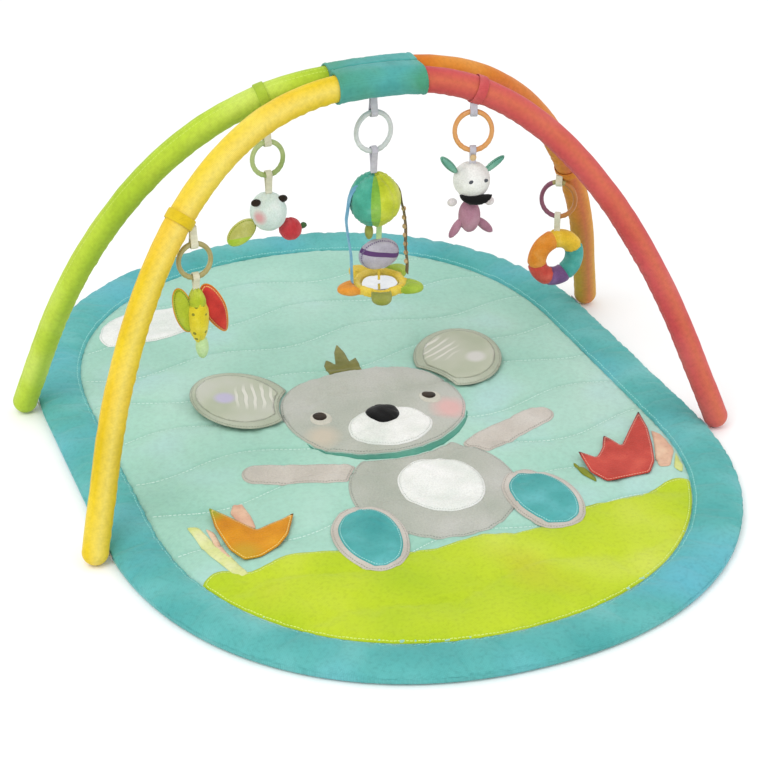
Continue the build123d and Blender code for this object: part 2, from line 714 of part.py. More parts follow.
CENTRE_X, CENTRE_Z, CENTRE_R, CENTRE_AZ = 14.0, 396.0, 25.0, radians(0.0)
CENTRE_Y = ARCH_Y + 8.5
CENTRE_LX = Vector(cos(CENTRE_AZ), sin(CENTRE_AZ), 0)          # along the ring's wire at its top
CENTRE_LY = Vector(-sin(CENTRE_AZ), cos(CENTRE_AZ), 0)         # the ring's own axis
CENTRE_C = Vector(CENTRE_X, CENTRE_Y, CENTRE_Z)

PUPPY_X, PUPPY_Z, PUPPY_R, PUPPY_AZ = 128.0, 394.0, 25.0, radians(-20.0)
PUPPY_TUBE, PUPPY_WAY, PUPPY_UNDER = hang_point(True, PUPPY_X)
PUPPY_Y = PUPPY_UNDER.Y
PUPPY_LX = Vector(cos(PUPPY_AZ), sin(PUPPY_AZ), 0)          # along the ring's wire at its top
PUPPY_LY = Vector(-sin(PUPPY_AZ), cos(PUPPY_AZ), 0)         # the ring's own axis
PUPPY_C = Vector(PUPPY_X, PUPPY_Y, PUPPY_Z)

DONUT_X, DONUT_Z, DONUT_R, DONUT_AZ = 308.0, 223.0, 25.0, radians(-32.0)
DONUT_TUBE, DONUT_WAY, DONUT_UNDER = hang_point(False, DONUT_X)
DONUT_Y = DONUT_UNDER.Y - 9.0      # the strap hangs off the tube's inner side
DONUT_LX = Vector(cos(DONUT_AZ), sin(DONUT_AZ), 0)          # along the ring's wire at its top
DONUT_LY = Vector(-sin(DONUT_AZ), cos(DONUT_AZ), 0)         # the ring's own axis
DONUT_C = Vector(DONUT_X, DONUT_Y, DONUT_Z)

with BuildPart() as front_toy_loops:
    for c, r, lx, ly, tube, way, under in (
            (BUTTERFLY_C, BUTTERFLY_R, BUTTERFLY_LX, BUTTERFLY_LY, BUTTERFLY_TUBE, BUTTERFLY_WAY, BUTTERFLY_UNDER),
            (PUPPY_C, PUPPY_R, PUPPY_LX, PUPPY_LY, PUPPY_TUBE, PUPPY_WAY, PUPPY_UNDER)):
        with Locations(Plane(origin=tube, z_dir=way).location):
            Cylinder(TUBE_R + 1.9, 13)
        top = c.Z + r
        with BuildSketch(Plane(origin=(c.X, c.Y, top), x_dir=ly, z_dir=lx)):
            Circle(WIRE + GAP + EYE)
            with Locations((0, (under.Z + 4 - top) / 2)):
                Rectangle(3.4, under.Z + 4 - top)
        extrude(amount=4.5, both=True)
        with Locations(Plane(origin=tube, z_dir=way).location):
            Cylinder(TUBE_R + 0.4, 80, mode=Mode.SUBTRACT)
        with Locations(Plane(origin=c, x_dir=lx, z_dir=ly).location):
            Torus(r, WIRE + GAP, mode=Mode.SUBTRACT)
front_toy_loops.part.label = "front_toy_loops"
export_step(front_toy_loops.part, "parts/front_toy_loops.step")

with BuildPart() as rear_toy_loops:
    for c, r, lx, ly, tube, way, under in (
            (CHICK_C, CHICK_R, CHICK_LX, CHICK_LY, CHICK_TUBE, CHICK_WAY, CHICK_UNDER),
            (DONUT_C, DONUT_R, DONUT_LX, DONUT_LY, DONUT_TUBE, DONUT_WAY, DONUT_UNDER)):
        with Locations(Plane(origin=tube, z_dir=way).location):
            Cylinder(TUBE_R + 1.9, 13)
        top = c.Z + r
        with BuildSketch(Plane(origin=(c.X, c.Y, top), x_dir=ly, z_dir=lx)):
            Circle(WIRE + GAP + EYE)
            with Locations((0, (under.Z + 4 - top) / 2)):
                Rectangle(3.4, under.Z + 4 - top)
        extrude(amount=4.5, both=True)
        with Locations(Plane(origin=tube, z_dir=way).location):
            Cylinder(TUBE_R + 0.4, 80, mode=Mode.SUBTRACT)
        with Locations(Plane(origin=c, x_dir=lx, z_dir=ly).location):
            Torus(r, WIRE + GAP, mode=Mode.SUBTRACT)
    # the middle loop hangs from the cuff
    with BuildSketch(Plane(origin=(CENTRE_X, CENTRE_Y, CENTRE_Z + CENTRE_R), x_dir=CENTRE_LY, z_dir=CENTRE_LX)):
        Circle(WIRE + GAP + EYE)
        with Locations((0, (ARCH_H - CUFF_OUT - 0.6 - CENTRE_Z - CENTRE_R) / 2)):
            Rectangle(3.4, ARCH_H - CUFF_OUT - 0.6 - CENTRE_Z - CENTRE_R)
    extrude(amount=4.5, both=True)
    with Locations(Plane(origin=CENTRE_C, x_dir=CENTRE_LX, z_dir=CENTRE_LY).location):
        Torus(CENTRE_R, WIRE + GAP, mode=Mode.SUBTRACT)
rear_toy_loops.part.label = "rear_toy_loops"
export_step(rear_toy_loops.part, "parts/rear_toy_loops.step")

with BuildPart() as butterfly_ring:
    with Locations(Plane(origin=BUTTERFLY_C, x_dir=BUTTERFLY_LX, z_dir=BUTTERFLY_LY).location):
        Torus(BUTTERFLY_R, WIRE)
butterfly_ring.part.label = "butterfly_ring"
export_step(butterfly_ring.part, "parts/butterfly_ring.step")

with BuildPart() as chick_ring:
    with Locations(Plane(origin=CHICK_C, x_dir=CHICK_LX, z_dir=CHICK_LY).location):
        Torus(CHICK_R, WIRE)
chick_ring.part.label = "chick_ring"
export_step(chick_ring.part, "parts/chick_ring.step")

with BuildPart() as centre_ring:
    with Locations(Plane(origin=CENTRE_C, x_dir=CENTRE_LX, z_dir=CENTRE_LY).location):
        Torus(CENTRE_R, WIRE)
centre_ring.part.label = "centre_ring"
export_step(centre_ring.part, "parts/centre_ring.step")

with BuildPart() as puppy_ring:
    with Locations(Plane(origin=PUPPY_C, x_dir=PUPPY_LX, z_dir=PUPPY_LY).location):
        Torus(PUPPY_R, WIRE)
puppy_ring.part.label = "puppy_ring"
export_step(puppy_ring.part, "parts/puppy_ring.step")

with BuildPart() as donut_ring:
    with Locations(Plane(origin=DONUT_C, x_dir=DONUT_LX, z_dir=DONUT_LY).location):
        Torus(DONUT_R, WIRE)
donut_ring.part.label = "donut_ring"
export_step(donut_ring.part, "parts/donut_ring.step")

with BuildPart() as butterfly_body:
    with BuildSketch(Plane(origin=(-237.0, BUTTERFLY_Y, 231.0), x_dir=(1, 0, 0), z_dir=(0, -1, 0))):
        with BuildLine():
            EllipticalCenterArc((0, 0), 13.5, 37.0, start_angle=-90, arc_size=180)
            Line((0, 37.0), (0, -37.0))
        make_face()
    revolve(axis=Axis((-237.0, BUTTERFLY_Y, 231.0), (0, 0, 1)))
    with BuildSketch(Plane(origin=(-234.0, BUTTERFLY_Y, 188.0), x_dir=(1, 0, 0), z_dir=(0, -1, 0))):
        with BuildLine():
            EllipticalCenterArc((0, 0), 8.0, 16.0, start_angle=-90, arc_size=180)
            Line((0, 16.0), (0, -16.0))
        make_face()
    revolve(axis=Axis((-234.0, BUTTERFLY_Y, 188.0), (0, 0, 1)))
    with BuildSketch(Plane(origin=(BUTTERFLY_X, BUTTERFLY_Y, BUTTERFLY_Z - BUTTERFLY_R), x_dir=BUTTERFLY_LY, z_dir=BUTTERFLY_LX)):
        Circle(WIRE + GAP + EYE)
        with Locations((0, (262.0 - (BUTTERFLY_Z - BUTTERFLY_R)) / 2)):
            Rectangle(4.0, (BUTTERFLY_Z - BUTTERFLY_R) - (262.0))
    extrude(amount=4.0, both=True)
    with Locations(Plane(origin=BUTTERFLY_C, x_dir=BUTTERFLY_LX, z_dir=BUTTERFLY_LY).location):
        Torus(BUTTERFLY_R, WIRE + GAP, mode=Mode.SUBTRACT)
butterfly_body.part.label = "butterfly_body"
export_step(butterfly_body.part, "parts/butterfly_body.step")

with BuildPart() as butterfly_wings:
    with BuildSketch(Plane(origin=(-254.0, BUTTERFLY_Y, 240.0), x_dir=(1, 0, 0), z_dir=(0, -1, 0))):
        with Locations(Location((0, 0), 12)):
            Ellipse(11.0, 30.0)
    extrude(amount=4.5, both=True)
    with BuildSketch(Plane(origin=(-216.0, BUTTERFLY_Y, 236.0), x_dir=(1, 0, 0), z_dir=(0, -1, 0))):
        with Locations(Location((0, 0), 20)):
            Ellipse(13.0, 35.0)
    extrude(amount=4.5, both=True)
    with BuildSketch(Plane(origin=(-237.0, BUTTERFLY_Y, 231.0), x_dir=(1, 0, 0), z_dir=(0, -1, 0))):
        with BuildLine():
            EllipticalCenterArc((0, 0), 13.8, 37.3, start_angle=-90, arc_size=180)
            Line((0, 37.3), (0, -37.3))
        make_face()
    revolve(axis=Axis((-237.0, BUTTERFLY_Y, 231.0), (0, 0, 1)), mode=Mode.SUBTRACT)
    with BuildSketch(Plane(origin=(-234.0, BUTTERFLY_Y, 188.0), x_dir=(1, 0, 0), z_dir=(0, -1, 0))):
        with BuildLine():
            EllipticalCenterArc((0, 0), 8.3, 16.3, start_angle=-90, arc_size=180)
            Line((0, 16.3), (0, -16.3))
        make_face()
    revolve(axis=Axis((-234.0, BUTTERFLY_Y, 188.0), (0, 0, 1)), mode=Mode.SUBTRACT)
butterfly_wings.part.label = "butterfly_wings"
export_step(butterfly_wings.part, "parts/butterfly_wings.step")

with BuildPart() as chick_head:
    with BuildSketch(Plane(origin=(-116.5, CHICK_Y, 305.0), x_dir=(1, 0, 0), z_dir=(0, -1, 0))):
        with BuildLine():
            EllipticalCenterArc((0, 0), 23.0, 25.0, start_angle=-90, arc_size=180)
            Line((0, 25.0), (0, -25.0))
        make_face()
    revolve(axis=Axis((-116.5, CHICK_Y, 305.0), (0, 0, 1)))
    with BuildSketch(Plane(origin=(CHICK_X, CHICK_Y, CHICK_Z - CHICK_R), x_dir=CHICK_LY, z_dir=CHICK_LX)):
        Circle(WIRE + GAP + EYE)
        with Locations((0, (326.0 - (CHICK_Z - CHICK_R)) / 2)):
            Rectangle(4.0, (CHICK_Z - CHICK_R) - (326.0))
    extrude(amount=4.0, both=True)
    with Locations(Plane(origin=CHICK_C, x_dir=CHICK_LX, z_dir=CHICK_LY).location):
        Torus(CHICK_R, WIRE + GAP, mode=Mode.SUBTRACT)
chick_head.part.label = "chick_head"
export_step(chick_head.part, "parts/chick_head.step")

with BuildPart() as chick_leaf:
    with BuildSketch(Plane(origin=(-152.5, CHICK_Y, 281.0), x_dir=(1, 0, 0), z_dir=(0, -1, 0))):
        with Locations(Location((0, 0), 35)):
            Ellipse(20.0, 13.0)
    extrude(amount=3.5, both=True)
    with BuildSketch(Plane(origin=(-116.5, CHICK_Y, 305.0), x_dir=(1, 0, 0), z_dir=(0, -1, 0))):
        with BuildLine():
            EllipticalCenterArc((0, 0), 23.3, 25.3, start_angle=-90, arc_size=180)
            Line((0, 25.3), (0, -25.3))
        make_face()
    revolve(axis=Axis((-116.5, CHICK_Y, 305.0), (0, 0, 1)), mode=Mode.SUBTRACT)
chick_leaf.part.label = "chick_leaf"
export_step(chick_leaf.part, "parts/chick_leaf.step")

with BuildPart() as chick_ball:
    with Locations((-89.0, CHICK_Y, 276.5)):
        Sphere(14.6)
    with BuildSketch(Plane(origin=(-116.5, CHICK_Y, 305.0), x_dir=(1, 0, 0), z_dir=(0, -1, 0))):
        with BuildLine():
            EllipticalCenterArc((0, 0), 23.3, 25.3, start_angle=-90, arc_size=180)
            Line((0, 25.3), (0, -25.3))
        make_face()
    revolve(axis=Axis((-116.5, CHICK_Y, 305.0), (0, 0, 1)), mode=Mode.SUBTRACT)
chick_ball.part.label = "chick_ball"
export_step(chick_ball.part, "parts/chick_ball.step")

with BuildPart() as centre_dome:
    with BuildSketch(Plane(origin=(15.0, CENTRE_Y, 306.0), x_dir=(1, 0, 0), z_dir=(0, -1, 0))):
        with BuildLine():
            EllipticalCenterArc((0, 0), 33.0, 36.0, start_angle=-90, arc_size=180)
            Line((0, 36.0), (0, -36.0))
        make_face()
    revolve(axis=Axis((15.0, CENTRE_Y, 306.0), (0, 0, 1)))
    with BuildSketch(Plane(origin=(CENTRE_X, CENTRE_Y, CENTRE_Z - CENTRE_R), x_dir=CENTRE_LY, z_dir=CENTRE_LX)):
        Circle(WIRE + GAP + EYE)
        with Locations((0, (340.0 - (CENTRE_Z - CENTRE_R)) / 2)):
            Rectangle(4.0, (CENTRE_Z - CENTRE_R) - (340.0))
    extrude(amount=4.0, both=True)
    with Locations(Plane(origin=CENTRE_C, x_dir=CENTRE_LX, z_dir=CENTRE_LY).location):
        Torus(CENTRE_R, WIRE + GAP, mode=Mode.SUBTRACT)
centre_dome.part.label = "centre_dome"
export_step(centre_dome.part, "parts/centre_dome.step")

with BuildPart() as centre_pad:
    with BuildSketch(Plane(origin=(20.0, CENTRE_Y, 231.0), x_dir=(1, 0, 0), z_dir=(0, -1, 0))):
        Ellipse(27.0, 21.0)
    extrude(amount=11.0, both=True)
    with BuildSketch(Plane(origin=(15.0, CENTRE_Y, 258.0), x_dir=(1, 0, 0), z_dir=(0, -1, 0))):
        Rectangle(9.0, 26.0)
    extrude(amount=2.0, both=True)
    with BuildSketch(Plane(origin=(20.0, CENTRE_Y, 204.0), x_dir=(1, 0, 0), z_dir=(0, -1, 0))):
        Rectangle(9.0, 16.0)
    extrude(amount=2.0, both=True)
    with BuildSketch(Plane(origin=(15.0, CENTRE_Y, 306.0), x_dir=(1, 0, 0), z_dir=(0, -1, 0))):
        with BuildLine():
            EllipticalCenterArc((0, 0), 33.3, 36.3, start_angle=-90, arc_size=180)
            Line((0, 36.3), (0, -36.3))
        make_face()
    revolve(axis=Axis((15.0, CENTRE_Y, 306.0), (0, 0, 1)), mode=Mode.SUBTRACT)
centre_pad.part.label = "centre_pad"
export_step(centre_pad.part, "parts/centre_pad.step")

with BuildPart() as centre_ribbons:
    for x_top, x_low in ((-22.5, -16.0), (53.5, 58.0)):
        with BuildSketch(Plane(origin=(0.0, CENTRE_Y, 0.0), x_dir=(1, 0, 0), z_dir=(0, -1, 0))):
            with BuildLine():
                Polyline((x_top - 1.2, 302.0), (x_top + 1.2, 302.0), (x_low + 1.2, 196.3), (x_low - 1.2, 196.3), close=True)
            make_face()
        extrude(amount=5.0, both=True)
    with BuildSketch(Plane(origin=(15.0, CENTRE_Y, 306.0), x_dir=(1, 0, 0), z_dir=(0, -1, 0))):
        with BuildLine():
            EllipticalCenterArc((0, 0), 33.3, 36.3, start_angle=-90, arc_size=180)
            Line((0, 36.3), (0, -36.3))
        make_face()
    revolve(axis=Axis((15.0, CENTRE_Y, 306.0), (0, 0, 1)), mode=Mode.SUBTRACT)
centre_ribbons.part.label = "centre_ribbons"
export_step(centre_ribbons.part, "parts/centre_ribbons.step")

with BuildPart() as mirror_frame:
    with BuildSketch(Plane.XY.offset(183.0)):
        with Locations((21.0, CENTRE_Y)):
            Circle(33.0)
        for k in range(5):
            a = radians(180 + 72 * k)
            with Locations(Location((21.0 + 38.0 * cos(a), CENTRE_Y + 38.0 * sin(a)), degrees(a))):
                Ellipse(19.0, 13.0)
        with Locations((21.0, CENTRE_Y)):
            Circle(24.3, mode=Mode.SUBTRACT)
    extrude(amount=13.0)
mirror_frame.part.label = "mirror_frame"
export_step(mirror_frame.part, "parts/mirror_frame.step")

with BuildPart() as mirror_disc:
    with Locations((21.0, CENTRE_Y, 190.0)):
        Cylinder(24.1, 3.0)
mirror_disc.part.label = "mirror_disc"
export_step(mirror_disc.part, "parts/mirror_disc.step")

with BuildPart() as puppy_head:
    with Locations((127.0, PUPPY_Y, 330.0)):
        Sphere(23.4)
    with BuildSketch(Plane(origin=(98.0, PUPPY_Y, 352.0), x_dir=(1, 0, 0), z_dir=(0, -1, 0))):
        with Locations(Location((0, 0), 40)):
            Ellipse(7.0, 17.0)
    extrude(amount=4.0, both=True)
    with BuildSketch(Plane(origin=(157.0, PUPPY_Y, 350.0), x_dir=(1, 0, 0), z_dir=(0, -1, 0))):
        with Locations(Location((0, 0), -55)):
            Ellipse(7.0, 17.0)
    extrude(amount=4.0, both=True)
    with BuildSketch(Plane(origin=(PUPPY_X, PUPPY_Y, PUPPY_Z - PUPPY_R), x_dir=PUPPY_LY, z_dir=PUPPY_LX)):
        Circle(WIRE + GAP + EYE)
        with Locations((0, (345.0 - (PUPPY_Z - PUPPY_R)) / 2)):
            Rectangle(4.0, (PUPPY_Z - PUPPY_R) - (345.0))
    extrude(amount=4.0, both=True)
    with Locations(Plane(origin=PUPPY_C, x_dir=PUPPY_LX, z_dir=PUPPY_LY).location):
        Torus(PUPPY_R, WIRE + GAP, mode=Mode.SUBTRACT)
puppy_head.part.label = "puppy_head"
export_step(puppy_head.part, "parts/puppy_head.step")

with BuildPart() as puppy_muzzle:
    with BuildSketch(Plane(origin=(126.0, PUPPY_Y - 6.0, 306.0), x_dir=(1, 0, 0), z_dir=(0, -1, 0))):
        Ellipse(21.5, 13.0)
        with Locations((0, 7.0)):
            Rectangle(50.0, 14.0, mode=Mode.SUBTRACT)
    extrude(amount=9.0, both=True)
    with Locations((127.0, PUPPY_Y, 330.0)):
        Sphere(23.7, mode=Mode.SUBTRACT)
puppy_muzzle.part.label = "puppy_muzzle"
export_step(puppy_muzzle.part, "parts/puppy_muzzle.step")

with BuildPart() as puppy_body:
    with BuildSketch(Plane(origin=(125.0, PUPPY_Y, 276.0), x_dir=(1, 0, 0), z_dir=(0, -1, 0))):
        with BuildLine():
            EllipticalCenterArc((0, 0), 14.0, 16.0, start_angle=-90, arc_size=180)
            Line((0, 16.0), (0, -16.0))
        make_face()
    revolve(axis=Axis((125.0, PUPPY_Y, 276.0), (0, 0, 1)))
    with BuildSketch(Plane(origin=(107.0, PUPPY_Y, 268.0), x_dir=(1, 0, 0), z_dir=(0, -1, 0))):
        with Locations(Location((0, 0), -35)):
            Ellipse(6.0, 15.0)
    extrude(amount=5.0, both=True)
    with BuildSketch(Plane(origin=(145.0, PUPPY_Y, 266.0), x_dir=(1, 0, 0), z_dir=(0, -1, 0))):
        with Locations(Location((0, 0), 45)):
            Ellipse(6.0, 17.0)
    extrude(amount=5.0, both=True)
    with BuildSketch(Plane(origin=(126.0, PUPPY_Y - 6.0, 306.0), x_dir=(1, 0, 0), z_dir=(0, -1, 0))):
        Ellipse(21.8, 13.3)
    extrude(amount=9.3, both=True, mode=Mode.SUBTRACT)
    with Locations((127.0, PUPPY_Y, 330.0)):
        Sphere(23.7, mode=Mode.SUBTRACT)
puppy_body.part.label = "puppy_body"
export_step(puppy_body.part, "parts/puppy_body.step")

with BuildPart() as donut_toy:
    with Locations(Plane(origin=(DONUT_X, DONUT_Y, 137.0), x_dir=(1, 0, 0), z_dir=(0, -1, 0)).location):
        Torus(28.0, 13.0)
    with BuildSketch(Plane(origin=(DONUT_X, DONUT_Y, DONUT_Z - DONUT_R), x_dir=DONUT_LY, z_dir=DONUT_LX)):
        Circle(WIRE + GAP + EYE)
        with Locations((0, (176.0 - (DONUT_Z - DONUT_R)) / 2)):
            Rectangle(4.0, (DONUT_Z - DONUT_R) - (176.0))
    extrude(amount=4.0, both=True)
    with Locations(Plane(origin=DONUT_C, x_dir=DONUT_LX, z_dir=DONUT_LY).location):
        Torus(DONUT_R, WIRE + GAP, mode=Mode.SUBTRACT)
donut_toy.part.label = "donut_toy"
export_step(donut_toy.part, "parts/donut_toy.step")
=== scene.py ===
import bpy
import math
import numpy as np
from math import sin, cos, tan, pi, radians, hypot, atan, atan2, sqrt
from mathutils import Vector, Matrix, noise
from mathutils.geometry import delaunay_2d_cdt
from mathutils.bvhtree import BVHTree


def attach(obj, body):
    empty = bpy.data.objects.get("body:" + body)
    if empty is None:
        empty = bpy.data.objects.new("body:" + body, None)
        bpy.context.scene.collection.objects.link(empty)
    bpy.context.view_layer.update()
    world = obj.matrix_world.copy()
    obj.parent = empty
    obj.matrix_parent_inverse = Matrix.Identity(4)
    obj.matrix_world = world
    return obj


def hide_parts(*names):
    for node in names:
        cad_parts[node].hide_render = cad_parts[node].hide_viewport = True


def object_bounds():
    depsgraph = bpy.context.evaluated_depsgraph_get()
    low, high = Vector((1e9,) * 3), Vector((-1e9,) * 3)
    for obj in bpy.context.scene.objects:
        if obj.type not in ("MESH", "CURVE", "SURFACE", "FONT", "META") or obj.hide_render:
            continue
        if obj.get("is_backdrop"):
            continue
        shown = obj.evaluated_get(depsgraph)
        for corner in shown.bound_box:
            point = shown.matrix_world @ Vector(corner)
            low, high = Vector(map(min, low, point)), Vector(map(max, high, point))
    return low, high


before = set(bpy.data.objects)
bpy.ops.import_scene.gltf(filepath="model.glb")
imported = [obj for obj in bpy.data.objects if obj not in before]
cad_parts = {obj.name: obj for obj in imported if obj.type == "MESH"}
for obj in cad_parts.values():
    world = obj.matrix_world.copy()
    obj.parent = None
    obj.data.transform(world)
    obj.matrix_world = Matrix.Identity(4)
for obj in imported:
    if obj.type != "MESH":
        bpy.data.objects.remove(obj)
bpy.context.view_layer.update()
scene = bpy.context.scene
MM = 0.001

# ------------------------------------------------------------------ camera
YAW, PITCH, ROLL = 0.37589, 0.525021, -0.0040990
cam_data = bpy.data.cameras.new("camera")
cam_data.sensor_width = 36.0
cam_data.lens = 89.23
cam_data.clip_start, cam_data.clip_end = 0.05, 50
camera = bpy.data.objects.new("camera", cam_data)
scene.collection.objects.link(camera)
fwd = Vector((sin(YAW) * cos(PITCH), cos(YAW) * cos(PITCH), -sin(PITCH)))
right = Vector((cos(YAW), -sin(YAW), 0))
up = right.cross(fwd)
cr = right * cos(ROLL) + up * sin(ROLL)
cu = -right * sin(ROLL) + up * cos(ROLL)
cm = Matrix((cr, cu, -fwd)).transposed().to_4x4()
cm.translation = Vector((-0.7603, -1.9786, 1.2824))
camera.matrix_world = cm
scene.camera = camera

# ------------------------------------------------------------------ the shape
# the same curves as the CAD source, in millimetres
HALF_W, END_R, STRAIGHT, POWER = 392.0, 401.0, 147.5, 2.153
BORDER_W = 60.0
ARCH_Y, FOOT_DY, CROWN_DY, ARCH_H = 6.0, 191.0, 16.5, 469.0
ARCH_W, FLARE, TUBE_R, FOOT_Z = 403.0, 10.0, 16.0, 16.0
LEAN = atan((FOOT_DY - CROWN_DY) / ARCH_H)
REAR, FRONT = (2.593, 1.447), (2.408, 1.372)
CUFF_L, CUFF_R = -43.0, 67.0
FACE_X = 9.0


def arch_x(z, shape):
    p, q = shape
    k = min(max(z / ARCH_H, 0.0), 1.0)
    return ARCH_W * (1 - k ** q) ** (1 / p) + FLARE * max(0.0, 1 - z / 110.0) ** 2


def arch_z(x, shape):
    p, q = shape
    return ARCH_H * (1 - min(abs(x) / ARCH_W, 1.0) ** p) ** (1 / q)


def arch_y(front, z):
    s = -1 if front else 1
    return ARCH_Y + s * (FOOT_DY - z * tan(LEAN))


def resample(P, step=None, n=None, closed=True):
    """Even spacing along a polyline."""
    P = np.asarray(P, float)
    Q = np.vstack([P, P[:1]]) if closed else P
    seg = np.linalg.norm(np.diff(Q, axis=0), axis=1)
    s = np.concatenate([[0], np.cumsum(seg)])
    if n is None:
        n = max(3, int(round(s[-1] / step)))
    t = np.linspace(0, s[-1], n + 1)[:-1] if closed else np.linspace(0, s[-1], n)
    return np.stack([np.interp(t, s, Q[:, k]) for k in range(P.shape[1])], 1)


def normals2(P):
    """Outward normals of a counter-clockwise closed polygon."""
    d = np.roll(P, -1, 0) - np.roll(P, 1, 0)
    d /= np.linalg.norm(d, axis=1)[:, None]
    return np.stack([d[:, 1], -d[:, 0]], 1)


def mat_outline(n=1200):
    out = []
    for k in range(2400):
        t = 2 * pi * k / 2400
        c, s = cos(t), sin(t)
        x = HALF_W * abs(c) ** (2 / POWER) * (1 if c >= 0 else -1)
        y = END_R * abs(s) ** (2 / POWER) * (1 if s >= 0 else -1) + (STRAIGHT if s >= 0 else -STRAIGHT)
        out.append((x, y))
    return resample(out, n=n)


OUTER = mat_outline(1200)
OUTER_N = normals2(OUTER)
for _ in range(4):
    OUTER_N = (np.roll(OUTER_N, 1, 0) + OUTER_N * 2 + np.roll(OUTER_N, -1, 0)) / 4
OUTER_N /= np.linalg.norm(OUTER_N, axis=1)[:, None]


def inset(d, step):
    return resample(OUTER - OUTER_N * d, step=step)


def ellipse(cx, cy, a, b, rot=0.0, n=96):
    t = np.linspace(0, 2 * pi, n, endpoint=False)
    x, y = a * np.cos(t), b * np.sin(t)
    r = radians(rot)
    return np.stack([cx + x * cos(r) - y * sin(r), cy + x * sin(r) + y * cos(r)], 1)


def slot_shape(cx, cy, length, width, rot):
    r, h = width / 2, length / 2 - width / 2
    a = [(h + r * cos(t), r * sin(t)) for t in np.linspace(-pi / 2, pi / 2, 24)]
    b = [(-h + r * cos(t), r * sin(t)) for t in np.linspace(pi / 2, 3 * pi / 2, 24)]
    p = np.array(a + b)
    k = radians(rot)
    return np.stack([cx + p[:, 0] * cos(k) - p[:, 1] * sin(k), cy + p[:, 0] * sin(k) + p[:, 1] * cos(k)], 1)


def inside(P, poly):
    """Which points are inside a polygon."""
    x, y = P[:, 0], P[:, 1]
    r = np.zeros(len(P), bool)
    a = poly
    b = np.roll(poly, -1, 0)
    for (x0, y0), (x1, y1) in zip(a, b):
        if y0 == y1:
            continue
        m = (y0 > y) != (y1 > y)
        r ^= m & (x < (x1 - x0) * (y - y0) / (y1 - y0) + x0)
    return r


def edge_info(P, poly):
    """Distance to a closed polygon's edge, and how far along it the nearest point is."""
    a = poly
    b = np.roll(poly, -1, 0)
    seg = np.linalg.norm(b - a, axis=1)
    acc = np.concatenate([[0], np.cumsum(seg)])[:-1]
    best = np.full(len(P), 1e9)
    along = np.zeros(len(P))
    for k in range(len(a)):
        if seg[k] < 1e-9:
            continue
        u = (b[k] - a[k]) / seg[k]
        w = P - a[k]
        t = np.clip(w @ u, 0, seg[k])
        d = np.hypot(w[:, 0] - t * u[0], w[:, 1] - t * u[1])
        m = d < best
        best[m] = d[m]
        along[m] = acc[k] + t[m]
    return best, along


def triangulate(poly, step, extra=(), margin=0.45):
    """Points and triangles that fill a polygon, with boundary points first."""
    B = resample(poly, step=step)
    lo, hi = B.min(0), B.max(0)
    gx = np.arange(lo[0] + step * 0.37, hi[0], step)
    gy = np.arange(lo[1] + step * 0.41, hi[1], step * 0.92)
    G = np.array([(x + (step / 2 if j % 2 else 0), y) for j, y in enumerate(gy) for x in gx])
    G = G[inside(G, B)]
    d, _ = edge_info(G, B)
    G = G[d > step * margin]
    lines = [resample(e, step=step, closed=False) for e in extra]
    for L in lines:
        keep = np.ones(len(G), bool)
        for k in range(0, len(L)):
            keep &= np.hypot(G[:, 0] - L[k, 0], G[:, 1] - L[k, 1]) > step * 0.6
        G = G[keep]
    pts = [B]
    nb = len(B)
    edges = [(k, (k + 1) % nb) for k in range(nb)]
    at = nb
    on_line = []
    for L in lines:
        pts.append(L)
        edges += [(at + k, at + k + 1) for k in range(len(L) - 1)]
        on_line.append((at, at + len(L)))
        at += len(L)
    pts.append(G)
    P = np.vstack(pts)
    res = delaunay_2d_cdt([Vector(p) for p in P], edges, [], 1, 1e-5)
    V = np.array([tuple(v) for v in res[0]])
    F = [tuple(f) for f in res[2]]
    orig = res[3]
    kind = np.zeros(len(V), int)          # 1 boundary, 2 on an extra line
    for k, src in enumerate(orig):
        for s in src:
            if s < nb:
                kind[k] = 1
            elif s < at and kind[k] == 0:
                kind[k] = 2
    # every face counter-clockwise
    fixed = []
    for f in F:
        a, b, c = V[f[0]], V[f[1]], V[f[2]]
        if (b[0] - a[0]) * (c[1] - a[1]) - (b[1] - a[1]) * (c[0] - a[0]) < 0:
            f = f[::-1]
        fixed.append(f)
    return V, fixed, kind


# ------------------------------------------------------------------ meshes
def new_mesh(name, verts, faces, mats, index=None, smooth=True, attrs=None):
    """A mesh object from millimetre points."""
    me = bpy.data.meshes.new(name)
    me.from_pydata([tuple(v) for v in (np.asarray(verts, float) * MM)], [], [tuple(f) for f in faces])
    for m in mats:
        me.materials.append(m)
    if index is not None:
        me.polygons.foreach_set("material_index", np.asarray(index, np.int32))
    me.polygons.foreach_set("use_smooth", np.full(len(me.polygons), smooth))
    for key, val in (attrs or {}).items():
        at = me.attributes.new(key, "FLOAT", "POINT")
        at.data.foreach_set("value", np.asarray(val, np.float32))
    me.update()
    o = bpy.data.objects.new(name, me)
    scene.collection.objects.link(o)
    return o


def nz(x, y, z=0.0):
    return noise.noise(Vector((x, y, z)))


def grid_faces(rows, cols, wrap_rows=False, wrap_cols=True):
    f = []
    rr = rows if wrap_rows else rows - 1
    cc = cols if wrap_cols else cols - 1
    for i in range(rr):
        for j in range(cc):
            a = i * cols + j
            b = i * cols + (j + 1) % cols
            c = ((i + 1) % rows) * cols + (j + 1) % cols
            d = ((i + 1) % rows) * cols + j
            f.append((a, b, c, d))
    return f


